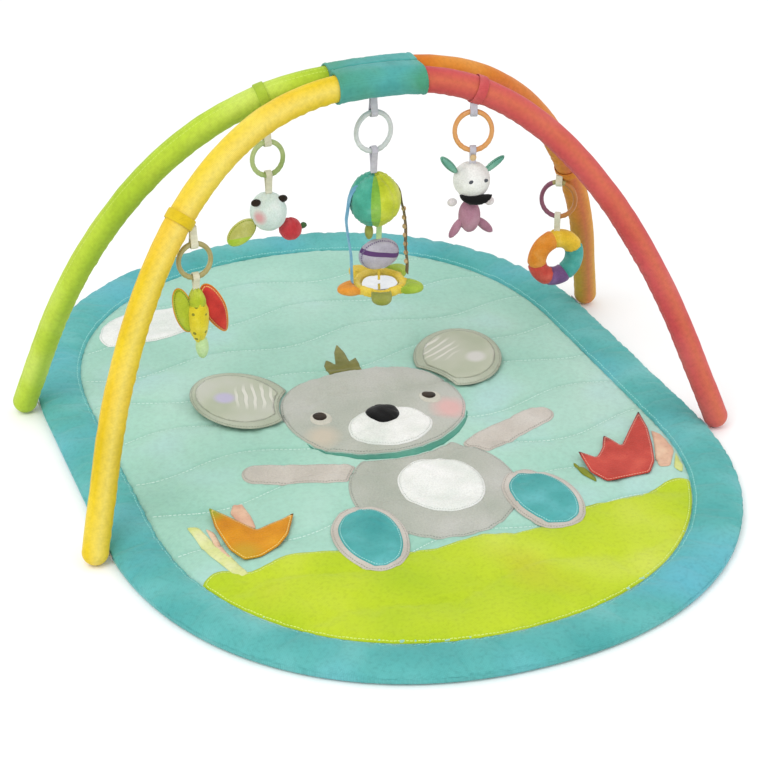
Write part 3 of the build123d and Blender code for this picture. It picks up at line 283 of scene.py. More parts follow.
def loft(rows, cap_start=True, cap_end=True, wrap_rows=False):
    """Closed rings of equal size joined in order; ends close to a point."""
    R = np.asarray(rows, float)
    n, m, _ = R.shape
    V = R.reshape(-1, 3)
    F = grid_faces(n, m, wrap_rows)
    if not wrap_rows:
        if cap_start:
            V = np.vstack([V, R[0].mean(0)[None]])
            c = len(V) - 1
            F += [(c, (j + 1) % m, j) for j in range(m)]
        if cap_end:
            V = np.vstack([V, R[-1].mean(0)[None]])
            c = len(V) - 1
            o = (n - 1) * m
            F += [(c, o + j, o + (j + 1) % m) for j in range(m)]
    return V, F


def outward(o):
    """Face normals point out."""
    import bmesh
    bm = bmesh.new()
    bm.from_mesh(o.data)
    bmesh.ops.recalc_face_normals(bm, faces=bm.faces)
    bm.to_mesh(o.data)
    bm.free()
    o.data.update()
    return o


# ------------------------------------------------------------------ materials
def lin(c):
    c = c.lstrip("#")
    v = [int(c[i:i + 2], 16) / 255 for i in (0, 2, 4)]
    return tuple(0.93 * (x / 12.92 if x <= 0.04045 else ((x + 0.055) / 1.055) ** 2.4) for x in v) + (1.0,)


class Nodes:
    """Small helper to write a node tree."""

    def __init__(self, name):
        self.mat = bpy.data.materials.new(name)
        self.mat.use_nodes = True
        self.t = self.mat.node_tree
        self.bsdf = self.t.nodes["Principled BSDF"]
        self.tc = self.t.nodes.new("ShaderNodeTexCoord")

    def add(self, kind, **props):
        n = self.t.nodes.new(kind)
        for k, v in props.items():
            if k.startswith("in_"):
                key = k[3:]
                n.inputs[int(key) if key.isdigit() else key].default_value = v
            else:
                setattr(n, k, v)
        return n

    def link(self, a, b):
        self.t.links.new(a, b)

    def coords(self, what="Object", scale=(1, 1, 1), rot=(0, 0, 0)):
        m = self.add("ShaderNodeMapping")
        m.inputs["Scale"].default_value = scale
        m.inputs["Rotation"].default_value = rot
        self.link(self.tc.outputs[what], m.inputs["Vector"])
        return m.outputs["Vector"]

    def noise(self, scale, vec=None, detail=3.0, rough=0.55, distort=0.0):
        n = self.add("ShaderNodeTexNoise")
        n.inputs["Scale"].default_value = scale
        n.inputs["Detail"].default_value = detail
        n.inputs["Roughness"].default_value = rough
        n.inputs["Distortion"].default_value = distort
        self.link(vec if vec is not None else self.tc.outputs["Object"], n.inputs["Vector"])
        return n.outputs["Fac"]

    def ramp(self, fac, stops, mode="LINEAR"):
        r = self.add("ShaderNodeValToRGB")
        r.color_ramp.interpolation = mode
        while len(r.color_ramp.elements) < len(stops):
            r.color_ramp.elements.new(0.5)
        for e, (p, c) in zip(r.color_ramp.elements, stops):
            e.position = p
            e.color = c if len(c) == 4 else (*c, 1)
        self.link(fac, r.inputs["Fac"])
        return r.outputs["Color"]

    def mix(self, fac, a, b, mode="MIX"):
        m = self.add("ShaderNodeMix", data_type="RGBA", blend_type=mode)
        if isinstance(fac, (int, float)):
            m.inputs[0].default_value = fac
        else:
            self.link(fac, m.inputs[0])
        for sock, v in ((m.inputs[6], a), (m.inputs[7], b)):
            if isinstance(v, tuple):
                sock.default_value = v
            else:
                self.link(v, sock)
        return m.outputs[2]

    def math(self, op, a, b=None, c=None, clamp=False):
        m = self.add("ShaderNodeMath", operation=op, use_clamp=clamp)
        for k, v in enumerate((a, b, c)):
            if v is None:
                continue
            if isinstance(v, (int, float)):
                m.inputs[k].default_value = v
            else:
                self.link(v, m.inputs[k])
        return m.outputs[0]

    def attr(self, name):
        a = self.add("ShaderNodeAttribute", attribute_name=name)
        return a.outputs["Fac"]

    def sep(self, vec):
        s = self.add("ShaderNodeSeparateXYZ")
        self.link(vec, s.inputs[0])
        return s.outputs

    def voronoi(self, scale, vec=None, feature="F1", rnd=1.0):
        v = self.add("ShaderNodeTexVoronoi", feature=feature)
        v.inputs["Scale"].default_value = scale
        v.inputs["Randomness"].default_value = rnd
        self.link(vec if vec is not None else self.tc.outputs["Object"], v.inputs["Vector"])
        return v

    def wave(self, scale, vec=None, axis="X", distort=0.0):
        w = self.add("ShaderNodeTexWave", bands_direction=axis)
        w.inputs["Scale"].default_value = scale
        w.inputs["Distortion"].default_value = distort
        w.inputs["Detail"].default_value = 1.0
        self.link(vec if vec is not None else self.tc.outputs["Object"], w.inputs["Vector"])
        return w.outputs["Fac"]

    def finish(self, colour, height=None, rough=(0.72, 0.95), rough_scale=60.0, bump=0.35, dist=0.0006,
               sheen=0.35, sheen_rough=0.45, spec=0.25):
        self.link(colour, self.bsdf.inputs["Base Color"])
        rn = self.noise(rough_scale, detail=2.0)
        rr = self.add("ShaderNodeMapRange")
        rr.inputs["To Min"].default_value = rough[0]
        rr.inputs["To Max"].default_value = rough[1]
        self.link(rn, rr.inputs["Value"])
        self.link(rr.outputs[0], self.bsdf.inputs["Roughness"])
        if height is not None:
            b = self.add("ShaderNodeBump")
            b.inputs["Strength"].default_value = bump
            b.inputs["Distance"].default_value = dist
            self.link(height, b.inputs["Height"])
            self.link(b.outputs["Normal"], self.bsdf.inputs["Normal"])
        self.bsdf.inputs["Sheen Weight"].default_value = sheen
        self.bsdf.inputs["Sheen Roughness"].default_value = sheen_rough
        self.bsdf.inputs["Specular IOR Level"].default_value = spec
        return self.mat


def weave_height(n, vec, pitch):
    """Plain weave: two crossing thread bands."""
    s = 0.314 / pitch
    a = n.wave(s, vec, "X")
    b = n.wave(s, vec, "Y")
    return n.math("MULTIPLY", a, b)


def fabric(name, dark, base, light, mottle=7.0, pitch=0.0016, coord="Object", fine=0.06,
           stitch=None, thread="#f4f4ee", blotch=None, sheen=0.14, nap=0.35, scale3=(1, 1, 1), edge=None):
    """Cloth: broad tone change, fine mottling, weave bump, fibre nap, and a stitched line beside an edge."""
    n = Nodes(name)
    vec = n.coords(coord, scale3)
    broad = n.noise(mottle, detail=2.0)
    col = n.ramp(broad, [(0.28, lin(dark)), (0.52, lin(base)), (0.76, lin(light))])
    if blotch:
        colour, sc, lo, hi = blotch
        m = n.ramp(n.noise(sc, detail=1.5), [(lo, (0, 0, 0)), (hi, (1, 1, 1))])
        col = n.mix(m, col, lin(colour))
    threads = weave_height(n, vec, pitch)
    fibre = n.noise(1400.0, detail=2.0, rough=0.7)
    fuzz = n.noise(210.0, detail=3.0, rough=0.6)
    shade = n.ramp(fuzz, [(0.25, (1 - fine * 2.2,) * 3), (0.5, (1.0,) * 3), (0.75, (1 + fine * 0.4,) * 3)])
    col = n.mix(1.0, col, shade, "MULTIPLY")
    wcol = n.ramp(threads, [(0.0, (0.86,) * 3), (0.6, (1.0,) * 3)])
    col = n.mix(0.7, col, wcol, "MULTIPLY")
    h = n.math("ADD", n.math("MULTIPLY", threads, 0.55), n.math("MULTIPLY", fibre, nap))
    if edge:
        # a tint near the edge of the piece
        colour, width = edge
        ed = n.attr("ed")
        m = n.math("SUBTRACT", 1.0, n.math("DIVIDE", ed, width), clamp=True)
        col = n.mix(m, col, lin(colour))
    if stitch:
        off, period = stitch
        ed, es = n.attr("ed"), n.attr("es")
        d = n.math("ABSOLUTE", n.math("SUBTRACT", ed, off))
        line = n.math("SUBTRACT", 1.0, n.math("DIVIDE", d, 0.55), clamp=True)
        line = n.math("GREATER_THAN", line, 0.05)
        dash = n.math("LESS_THAN", n.math("FRACT", n.math("DIVIDE", es, period)), 0.68)
        m = n.math("MULTIPLY", line, dash)
        col = n.mix(m, col, lin(thread))
        groove = n.math("MULTIPLY", n.math("SUBTRACT", 1.0, n.math("DIVIDE", d, 1.6), clamp=True), -1.6)
        h = n.math("ADD", h, n.math("ADD", groove, n.math("MULTIPLY", m, 1.5)))
    return n.finish(col, h, sheen=sheen)


def fleece(name, dark, base, light, mottle=16.0, sheen=0.22, spots=None, cheeks=(), bump=0.5, stitch=None, band=None):
    """Short pile plush."""
    n = Nodes(name)
    broad = n.noise(mottle, detail=2.0)
    col = n.ramp(broad, [(0.28, lin(dark)), (0.52, lin(base)), (0.76, lin(light))])
    pile = n.noise(520.0, detail=4.0, rough=0.7)
    tuft = n.voronoi(430.0).outputs["Distance"]
    shade = n.ramp(pile, [(0.3, (0.86,) * 3), (0.62, (1.04,) * 3)])
    col = n.mix(1.0, col, shade, "MULTIPLY")
    if spots:
        colour, sc, size = spots
        d = n.voronoi(sc, rnd=0.35).outputs["Distance"]
        m = n.ramp(d, [(size * 0.85, (1, 1, 1)), (size, (0, 0, 0))])
        col = n.mix(m, col, lin(colour))
    for (cx, cy, cz, r, colour) in cheeks:
        v = n.add("ShaderNodeVectorMath", operation="DISTANCE")
        n.link(n.tc.outputs["Object"], v.inputs[0])
        v.inputs[1].default_value = (cx * MM, cy * MM, cz * MM)
        m = n.math("SUBTRACT", 1.0, n.math("DIVIDE", v.outputs["Value"], r * MM), clamp=True)
        m = n.math("MULTIPLY", m, 1.5, clamp=True)
        col = n.mix(m, col, lin(colour))
    if band:
        x0, z0, slope, half_w, colour = band
        o_ = n.sep(n.tc.outputs["Object"])
        d = n.math("ADD", n.math("SUBTRACT", o_[2], z0 * MM), n.math("MULTIPLY", n.math("SUBTRACT", o_[0], x0 * MM), slope))
        m = n.math("SUBTRACT", 1.0, n.math("DIVIDE", n.math("SUBTRACT", n.math("ABSOLUTE", d), half_w * MM), 0.0003), clamp=True)
        col = n.mix(m, col, lin(colour))
    h = n.math("ADD", n.math("MULTIPLY", pile, 1.0), n.math("MULTIPLY", tuft, 0.8))
    if stitch:
        off, period, thread = stitch
        ed, es = n.attr("ed"), n.attr("es")
        d = n.math("ABSOLUTE", n.math("SUBTRACT", ed, off))
        line = n.math("LESS_THAN", d, 0.5)
        dash = n.math("LESS_THAN", n.math("FRACT", n.math("DIVIDE", es, period)), 0.66)
        m = n.math("MULTIPLY", line, dash)
        col = n.mix(m, col, lin(thread))
        h = n.math("ADD", h, n.math("MULTIPLY", n.math("SUBTRACT", 1.0, n.math("DIVIDE", d, 1.5), clamp=True), -1.2))
    return n.finish(col, h, bump=bump, dist=0.0008, sheen=sheen, rough=(0.85, 1.0))


def plastic(name, dark, base, light, mottle=22.0, rough=(0.22, 0.38)):
    """Moulded plastic with faint flow marks and handling wear."""
    n = Nodes(name)
    col = n.ramp(n.noise(mottle, detail=3.0, distort=0.6), [(0.25, lin(dark)), (0.5, lin(base)), (0.8, lin(light))])
    wear = n.ramp(n.noise(260.0, detail=4.0), [(0.35, (0.93,) * 3), (0.6, (1.0,) * 3)])
    col = n.mix(1.0, col, wear, "MULTIPLY")
    h = n.noise(420.0, detail=3.0)
    return n.finish(col, h, rough=rough, bump=0.08, dist=0.0003, sheen=0.0, spec=0.5)


M = {}
M["mint"] = None          # made below, with its printed specks
M["teal"] = fabric("teal_cotton_cloth", "#4ca9a7", "#5fb8b5", "#7dcac9", mottle=9, pitch=0.0018, fine=0.07,
                   stitch=(4.0, 5.0), thread="#8fd4cf", blotch=("#66bccb", 5.5, 0.50, 0.72))
M["lime"] = fabric("lime_cotton_cloth", "#b2cf18", "#c6db2a", "#d8e458", mottle=6, stitch=(3.0, 4.4),
                   thread="#dcee80", blotch=("#c9c62c", 5.0, 0.55, 0.75))
M["white"] = fleece("white_fleece", "#dfe6df", "#eef0ec", "#fbfbfa", mottle=22, stitch=(2.6, 3.6, "#c9cfc8"))
M["grey"] = fleece("grey_fleece", "#acb2a6", "#b9bcb2", "#c6c6c0", mottle=12, stitch=(2.8, 3.8, "#8f938a"))
M["face"] = fleece("grey_face_fleece", "#aeb4a8", "#bdc0b6", "#c9c9c4", mottle=11, stitch=(3.0, 4.0, "#8f938a"),
                   cheeks=((FACE_X + 90, -34, 16.5, 30, "#deb5b1"), (FACE_X - 88, -40, 16.5, 28, "#c9bfae")))
M["pinkgrey"] = fleece("pinkgrey_fleece", "#bdb7ad", "#cdc6bd", "#dad6cf", mottle=14, stitch=(2.6, 3.6, "#a39d94"))
M["eye"] = fleece("eye_brown_fleece", "#241b14", "#33271d", "#463729", mottle=60, sheen=0.15, bump=0.25)
M["halo"] = fleece("eye_halo_fleece", "#c4c2b4", "#cfccbf", "#d8d6cb", mottle=30)
# dark teal cloth for the strip between head and body: a painted shadow of the raised head
M["neck"] = fabric("neck_painted_shade_cloth", "#468f7c", "#529d89", "#66ac98", mottle=16)
M["black"] = fleece("black_satin", "#050505", "#0b0b0c", "#19191b", mottle=30, sheen=0.15, bump=0.25)
M["olive"] = fabric("olive_cloth", "#6f7038", "#84834a", "#9a9658", mottle=30)
M["soles"] = fabric("sole_teal_cloth", "#3f9f9f", "#4fadac", "#68bfc2", mottle=20, stitch=(2.2, 3.4), thread="#9bd6d6",
                    blotch=("#58aac4", 14, 0.58, 0.78))
M["yellow"] = None
M["webbing"] = fabric("webbing_tape", "#b9b6c0", "#cbc8d2", "#dddbe2", mottle=40, pitch=0.0011)
M["cream_tape"] = fabric("cream_tape", "#d9d5b8", "#e6e3cb", "#f2f0de", mottle=40, pitch=0.0011)


def mint_material():
    """The mat's pale quilted cloth, with a scattered print of small pale marks and stitched waves."""
    n = Nodes("mint_quilted_cloth")
    vec = n.coords("Object")
    col = n.ramp(n.noise(4.5, detail=2.0), [(0.3, lin("#9fd2c0")), (0.5, lin("#aedccb")), (0.72, lin("#bfe4d6"))])
    cool = n.ramp(n.noise(9.0, detail=1.0), [(0.55, (0, 0, 0)), (0.78, (1, 1, 1))])
    col = n.mix(n.math("MULTIPLY", cool, 0.45), col, lin("#b3dde2"))
    # printed marks: soft dots with their own colour
    flat = n.coords("Object", scale=(1, 1, 0))
    v = n.voronoi(10.5, flat, rnd=0.8)
    pick = n.sep(v.outputs["Color"])
    tint = n.ramp(pick[0], [(0.0, lin("#8fe0a4")), (0.34, lin("#cfd0e6")), (0.67, lin("#e9c9cf")), (1.0, lin("#8fd3c6"))], "CONSTANT")
    size = n.math("MULTIPLY_ADD", pick[1], 0.09, 0.06)
    wob = n.math("MULTIPLY_ADD", n.noise(75.0, flat, detail=1.0), 0.20, -0.10)
    m = n.math("LESS_THAN", n.math("ADD", v.outputs["Distance"], wob), size)
    m = n.math("MULTIPLY", m, n.math("GREATER_THAN", pick[2], 0.35))
    col = n.mix(n.math("MULTIPLY", m, 0.6), col, tint)
    threads = weave_height(n, vec, 0.0016)
    col = n.mix(0.7, col, n.ramp(threads, [(0.0, (0.88,) * 3), (0.6, (1.0,) * 3)]), "MULTIPLY")
    fuzz = n.noise(180.0, detail=3.0)
    col = n.mix(1.0, col, n.ramp(fuzz, [(0.25, (0.92,) * 3), (0.6, (1.02,) * 3)]), "MULTIPLY")
    # stitched quilting lines, with painted shade darkening the cloth beside them
    q, s = n.attr("qd"), n.attr("qs")
    line = n.math("LESS_THAN", q, 0.9)
    dash = n.math("LESS_THAN", n.math("FRACT", n.math("DIVIDE", s, 5.0)), 0.66)
    m2 = n.math("MULTIPLY", line, dash)
    # painted shade: the cloth within 7 mm of each quilting line is darkened, where the puffs dip into the seam grooves
    near = n.math("SUBTRACT", 1.0, n.math("DIVIDE", q, 7.0), clamp=True)
    col = n.mix(n.math("MULTIPLY", near, 0.35), col, lin("#83c0ad"))
    col = n.mix(n.math("MULTIPLY", m2, 0.8), col, lin("#d9f1e8"))
    h = n.math("ADD", n.math("MULTIPLY", threads, 0.6), n.math("MULTIPLY", n.noise(1400.0, detail=2.0), 0.35))
    h = n.math("ADD", h, n.math("MULTIPLY", m2, 1.0))
    return n.finish(col, h, sheen=0.14)


M["mint"] = mint_material()
M["lining"] = fabric("mat_underside_cloth", "#b9c3bf", "#c9d2ce", "#d7dedb", mottle=8, pitch=0.002)


def sleeve_material(name, dark, base, light, flank_a_painted_light, flank_b_painted_light, blotch, foot=None):
    """Tube cloth: u runs round the tube, v along it."""
    n = Nodes(name)
    uv = n.sep(n.tc.outputs["UV"])
    col = n.ramp(n.noise(9.0, detail=2.0), [(0.3, lin(dark)), (0.5, lin(base)), (0.72, lin(light))])
    m = n.ramp(n.noise(6.5, detail=1.5), [(0.5, (0, 0, 0)), (0.72, (1, 1, 1))])
    col = n.mix(n.math("MULTIPLY", m, 0.55), col, lin(blotch))
    if foot:
        low = n.math("SUBTRACT", 1.0, n.math("DIVIDE", n.math("SUBTRACT", uv[1], 0.05), 0.24), clamp=True)
        col = n.mix(low, col, lin(foot))
    # painted light and shade on the two flanks: one flank is tinted lighter and the other darker, as the light falls
    # across the tube
    fa = n.math("SUBTRACT", 1.0, n.math("DIVIDE", n.math("ABSOLUTE", n.math("SUBTRACT", uv[0], 0.25)), 0.13), clamp=True)
    fb = n.math("SUBTRACT", 1.0, n.math("DIVIDE", n.math("ABSOLUTE", n.math("SUBTRACT", uv[0], 0.75)), 0.13), clamp=True)
    col = n.mix(n.math("MULTIPLY", fa, 0.6), col, lin(flank_a_painted_light))
    col = n.mix(n.math("MULTIPLY", fb, 0.6), col, lin(flank_b_painted_light))
    sc = n.add("ShaderNodeMapping")
    sc.inputs["Scale"].default_value = (0.1, 1, 1)
    n.link(n.tc.outputs["UV"], sc.inputs["Vector"])
    threads = weave_height(n, sc.outputs[0], 0.0017)
    fuzz = n.noise(200.0, detail=3.0)
    col = n.mix(1.0, col, n.ramp(fuzz, [(0.25, (0.88,) * 3), (0.6, (1.03,) * 3)]), "MULTIPLY")
    col = n.mix(0.7, col, n.ramp(threads, [(0.0, (0.87,) * 3), (0.6, (1.0,) * 3)]), "MULTIPLY")
    # the lengthwise seam: two stitched rows beside it
    d = n.math("ABSOLUTE", n.math("SUBTRACT", n.math("ABSOLUTE", n.math("SUBTRACT", uv[0], 0.5)), 0.03))
    line = n.math("LESS_THAN", d, 0.005)
    dash = n.math("LESS_THAN", n.math("FRACT", n.math("DIVIDE", uv[1], 0.0046)), 0.66)
    mm = n.math("MULTIPLY", line, dash)
    col = n.mix(n.math("MULTIPLY", mm, 0.6), col, lin(light))
    h = n.math("ADD", n.math("MULTIPLY", threads, 0.55), n.math("MULTIPLY", n.noise(1300.0, detail=2.0), 0.4))
    h = n.math("ADD", h, n.math("MULTIPLY", mm, 1.1))
    return n.finish(col, h, sheen=0.14)


# the fifth and sixth arguments are the flank colours: painted light and painted shade on the tube's two sides
M["yellow"] = sleeve_material("yellow_sleeve_cloth", "#e0c010", "#eecf24", "#f4dd58", "#f2e07c", "#ddb21a", "#f0b93a")
M["green"] = sleeve_material("green_sleeve_cloth", "#acca2e", "#bed93e", "#d2e76a", "#9dc038", "#d6e786", "#ccd44a")
M["red"] = sleeve_material("red_sleeve_cloth", "#c8474a", "#d4585a", "#dc7570", "#d9784e", "#c04048", "#dc6a56")
M["orange"] = sleeve_material("orange_sleeve_cloth", "#d9771e", "#e48f2c", "#eaa855", "#d4625a", "#d9b84a", "#df7a48", foot="#d9a63a")
M["cuff"] = fabric("cuff_cloth", "#449c98", "#57aeaa", "#83c8c4", mottle=24, stitch=None, blotch=("#4c9c7c", 12, 0.5, 0.68))
M["foam"] = None


def foam_material():
    n = Nodes("foam_cells")
    v = n.voronoi(900.0)
    col = n.ramp(n.noise(60.0), [(0.3, lin("#dcdad0")), (0.7, lin("#efeee6"))])
    return n.finish(col, v.outputs["Distance"], bump=0.6, sheen=0.0, rough=(0.85, 1.0))


def metal_material():
    n = Nodes("ferrule_brushed")
    st = n.coords("Object", scale=(20, 900, 900))
    g = n.noise(3.0, st, detail=2.0)
    col = n.ramp(g, [(0.3, lin("#9a9ca0")), (0.7, lin("#c2c4c8"))])
    n.bsdf.inputs["Metallic"].default_value = 1.0
    return n.finish(col, g, rough=(0.25, 0.4), sheen=0.0, bump=0.1)


def mirror_material():
    n = Nodes("mirror_foil")
    g = n.noise(38.0, detail=2.0, distort=0.4)
    col = n.ramp(n.noise(60.0), [(0.3, lin("#e6eaee")), (0.7, lin("#fafcfd"))])
    n.bsdf.inputs["Metallic"].default_value = 1.0
    return n.finish(col, g, rough=(0.06, 0.16), sheen=0.0, bump=0.15, dist=0.0008, spec=0.5)


M["foam"] = foam_material()
M["metal"] = metal_material()
M["mirror"] = mirror_material()
M["pole"] = plastic("pole_fibreglass", "#c9c9bd", "#d8d8cc", "#e6e6dc", mottle=120)


def lining_material(name, angle, strokes, dot, dot_colour):
    """Ear lining: pale cloth printed with a few soft strokes, and one dot."""
    n = Nodes(name)
    vec = n.coords("Object", rot=(0, 0, angle))
    col = n.ramp(n.noise(14.0, detail=2.0), [(0.3, lin("#b6bea6")), (0.5, lin("#c3c8b4")), (0.75, lin("#cfd0c6"))])

    def near(p, r):
        v = n.add("ShaderNodeVectorMath", operation="DISTANCE")
        n.link(n.tc.outputs["Object"], v.inputs[0])
        v.inputs[1].default_value = (p[0] * MM, p[1] * MM, 0.019)
        return n.math("SUBTRACT", 1.0, n.math("DIVIDE", v.outputs["Value"], r * MM), clamp=True)
    w = n.wave(27.0, vec, "X", distort=3.4)
    line = n.ramp(w, [(0.66, (0, 0, 0)), (0.80, (0.9,) * 3)])
    area_ = n.math("MULTIPLY", near(strokes, 36.0), 2.4, clamp=True)
    col = n.mix(n.math("MULTIPLY", line, area_), col, lin("#e7e6dc"))
    dark = n.ramp(w, [(0.52, (0, 0, 0)), (0.60, (0.5,) * 3), (0.66, (0, 0, 0))])
    col = n.mix(n.math("MULTIPLY", dark, area_), col, lin("#9a9c8e"))
    m = n.math("MULTIPLY", near(dot, 17.0), 2.2, clamp=True)
    col = n.mix(m, col, lin(dot_colour))
    threads = weave_height(n, vec, 0.0014)
    col = n.mix(0.6, col, n.ramp(threads, [(0.0, (0.9,) * 3), (0.6, (1.0,) * 3)]), "MULTIPLY")
    return n.finish(col, threads, sheen=0.14)


M["lining_l"] = lining_material("ear_lining_left", 0.25, (-130, 82), (-168, 90), "#c6c0da")
M["lining_r"] = lining_material("ear_lining_right", 1.1, (140, 112), (182, 70), "#d9d8d2")
M["ear"] = fleece("ear_fleece", "#a9b29c", "#b7beaa", "#c6ccba", mottle=12, stitch=(2.8, 3.8, "#8f9684"))


# ------------------------------------------------------------------ cloth simulation
SIM_SECONDS = []


def inflate(o, pinned, pressure=4.0, frames=16, shrink=-0.02, cap=6.0, bending=0.4, quality=4, tension=12.0):
    """Blender Cloth with air pressure and no gravity; the result goes back into the mesh, moved at most cap millimetres."""
    g = o.vertex_groups.new(name="pin")
    g.add([int(i) for i in np.nonzero(pinned)[0]], 1.0, "REPLACE")
    mod = o.modifiers.new("Cloth", "CLOTH")
    s = mod.settings
    s.quality = quality
    s.mass = 0.25
    s.air_damping = 2.0
    s.tension_stiffness = tension
    s.compression_stiffness = tension
    s.shear_stiffness = 4.0
    s.bending_stiffness = bending
    s.use_pressure = True
    s.uniform_pressure_force = pressure
    s.effector_weights.gravity = 0.0
    s.vertex_group_mass = "pin"
    s.shrink_min = shrink
    s.shrink_max = shrink
    mod.collision_settings.use_collision = False
    mod.collision_settings.use_self_collision = False
    mod.point_cache.frame_start = 1
    mod.point_cache.frame_end = frames
    start = np.array([v.co[:] for v in o.data.vertices])
    for f in range(1, frames + 1):
        scene.frame_set(f)
    ev = o.evaluated_get(bpy.context.evaluated_depsgraph_get())
    end = np.zeros(len(o.data.vertices) * 3)
    ev.data.vertices.foreach_get("co", end)
    end = end.reshape(-1, 3)
    o.modifiers.remove(mod)
    o.vertex_groups.clear()
    scene.frame_set(1)
    d = end - start
    d[~np.isfinite(d).all(1)] = 0
    L = np.linalg.norm(d, axis=1)
    c = cap * MM
    k = np.where(L > 1e-9, c * np.tanh(L / c) / np.maximum(L, 1e-9), 0)
    o.data.vertices.foreach_set("co", (start + d * k[:, None]).ravel())
    o.data.update()
    SIM_SECONDS.append((o.name, float(L.max() / MM), float(L.mean() / MM)))


# ------------------------------------------------------------------ the mat's quilt
INNER = inset(BORDER_W - 0.5, 5.5)
QUILT_STEP = 6.0
waves = []
for k, y0 in enumerate(np.arange(-395, 420, 88.0)):
    xs = np.arange(-360, 361, 5.0)
    ys = y0 + 12 * np.sin(xs / 36.0 + k * 1.7) + 5 * np.sin(xs / 91.0 + k)
    L = np.stack([xs, ys], 1)
    ok = inside(L, INNER)
    d, _ = edge_info(L, INNER)
    ok &= d > 5
    L = L[ok]
    if len(L) > 8:
        waves.append(L)
V, F, kind = triangulate(INNER, QUILT_STEP, extra=waves)
edge_d, _ = edge_info(V, INNER)
qd = np.full(len(V), 99.0)
qs = np.zeros(len(V))
for L in waves:
    seg = np.concatenate([[0], np.cumsum(np.linalg.norm(np.diff(L, axis=0), axis=1))])
    for k in range(len(L)):
        d = np.hypot(V[:, 0] - L[k, 0], V[:, 1] - L[k, 1])
        m = d < qd
        qd[m] = d[m]
        qs[m] = seg[k]
qd[kind == 2] = 0.0
# start with a shallow puff between the seams, the simulation adds the rest
puff = np.minimum(edge_d, qd)
z0 = 9.2 + 1.6 * (1 - np.exp(-puff / 14.0))
top = np.column_stack([V, z0])
quilt = new_mesh("mat_quilt_top", top, F, [M["mint"]])
pins = (kind == 1) | (kind == 2)
inflate(quilt, pins, pressure=5.0, frames=18, shrink=-0.022, cap=3.2, bending=0.25)
co = np.array([v.co[:] for v in quilt.data.vertices]) / MM
bpy.data.objects.remove(quilt)
co[:, 2] = np.clip(co[:, 2], 8.0, 14.0)
# lower sheet, joined to the upper one along the edge
low = co.copy()
low[:, 2] = 1.0 - 0.35 * (1 - np.exp(-puff / 18.0))
low[:, :2] = V
nv = len(co)
B = [i for i in range(nv) if kind[i] == 1]
allv = np.vstack([co, low])
allf = list(F) + [tuple(nv + i for i in f[::-1]) for f in F]
# side wall along the boundary edges
edge_count = {}
for f in F:
    for a, b in zip(f, f[1:] + f[:1]):
        edge_count[(a, b)] = edge_count.get((a, b), 0) + 1
wall = [(a, b) for (a, b) in edge_count if (b, a) not in edge_count]
allf += [(b, a, nv + a, nv + b) for a, b in wall]
index = [0] * len(F) + [1] * len(F) + [1] * len(wall)
quilt = new_mesh("mat_quilt", allv, allf, [M["mint"], M["lining"]], index,
                 attrs={"qd": np.concatenate([qd, np.full(nv, 99.0)]), "qs": np.concatenate([qs, qs])})
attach(quilt, "mat")
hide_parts("mat_backing", "mat_wadding", "mat_top_panel")
QT = BVHTree.FromPolygons([tuple(v) for v in co], F)
ALL_Z = co[:, 2].max()


def height(x, y):
    hit = QT.ray_cast(Vector((x, y, 60.0)), Vector((0, 0, -1)))
    if hit[0] is None:
        return 10.0
    return hit[0].z


def heights(P):
    return np.array([height(x, y) for x, y in P])


# ------------------------------------------------------------------ the mat's border
def border():
    n = 620
    P = resample(OUTER, n=n)
    N = normals2(P)
    for _ in range(6):
        N = (np.roll(N, 1, 0) + N * 2 + np.roll(N, -1, 0)) / 4
    N /= np.linalg.norm(N, axis=1)[:, None]
    seg = np.linalg.norm(np.roll(P, -1, 0) - P, axis=1)
    s = np.concatenate([[0], np.cumsum(seg)])[:-1]
    total = seg.sum()
    mt, mb = 26, 14
    rows, ed, es, pin = [], [], [], []
    for i in range(n):
        row = []
        a = 2 * pi * s[i] / total
        ca, sa = cos(a), sin(a)
        for j in range(mt + mb):
            if j <= mt:                         # over the top, from the inner seam to the outer seam
                t = pi * j / mt
                c, q = cos(t), sin(t)
                w = 30 + 30 * abs(c) ** (2 / 2.6) * (1 if c >= 0 else -1)
                z = 8.6 + 7.2 * max(q, 0) ** (2 / 2.3)
                # puckers that start at both seams and fade over the crown
                fade = math.exp(-min(w, 60 - w) / 15.0) * min(1, min(w, 60 - w) / 2.5)
                r = total / (2 * pi)
                k1 = nz(ca * r / 9.5, sa * r / 9.5, w / 30)
                k2 = nz(ca * r / 46, sa * r / 46, 7 + w / 38)
                z += fade * (1.5 * k1) + 1.1 * k2 * min(1, min(w, 60 - w) / 12)
            else:
                t = pi * (j - mt) / mb
                c, q = -cos(t), sin(t)
                w = 30 + 30 * abs(c) ** (2 / 6.0) * (1 if c >= 0 else -1)
                z = 8.6 - 8.1 * max(q, 0) ** (2 / 6.0)
            x, y = P[i] - N[i] * w
            row.append((x, y, z))
            ed.append(60 - w)
            es.append(s[i])
            pin.append(j in (0, mt) or j > mt)
        rows.append(row)
    V = np.array(rows)
    # w = 60 is the inner seam, w = 0 the outer edge
    F = grid_faces(n, mt + mb, wrap_rows=True)
    o = new_mesh("mat_border_band", V.reshape(-1, 3), F, [M["teal"]], attrs={"ed": ed, "es": es})
    outward(o)
    inflate(o, np.array(pin), pressure=5.0, frames=14, shrink=-0.03, cap=2.4, bending=0.3)
    co = np.array([v.co[:] for v in o.data.vertices])
    co[:, 2] = np.clip(co[:, 2], 0.0003, 0.0195)
    o.data.vertices.foreach_set("co", co.ravel())
    o.data.update()
    return o


band = border()
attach(band, "mat")
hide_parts("mat_border")


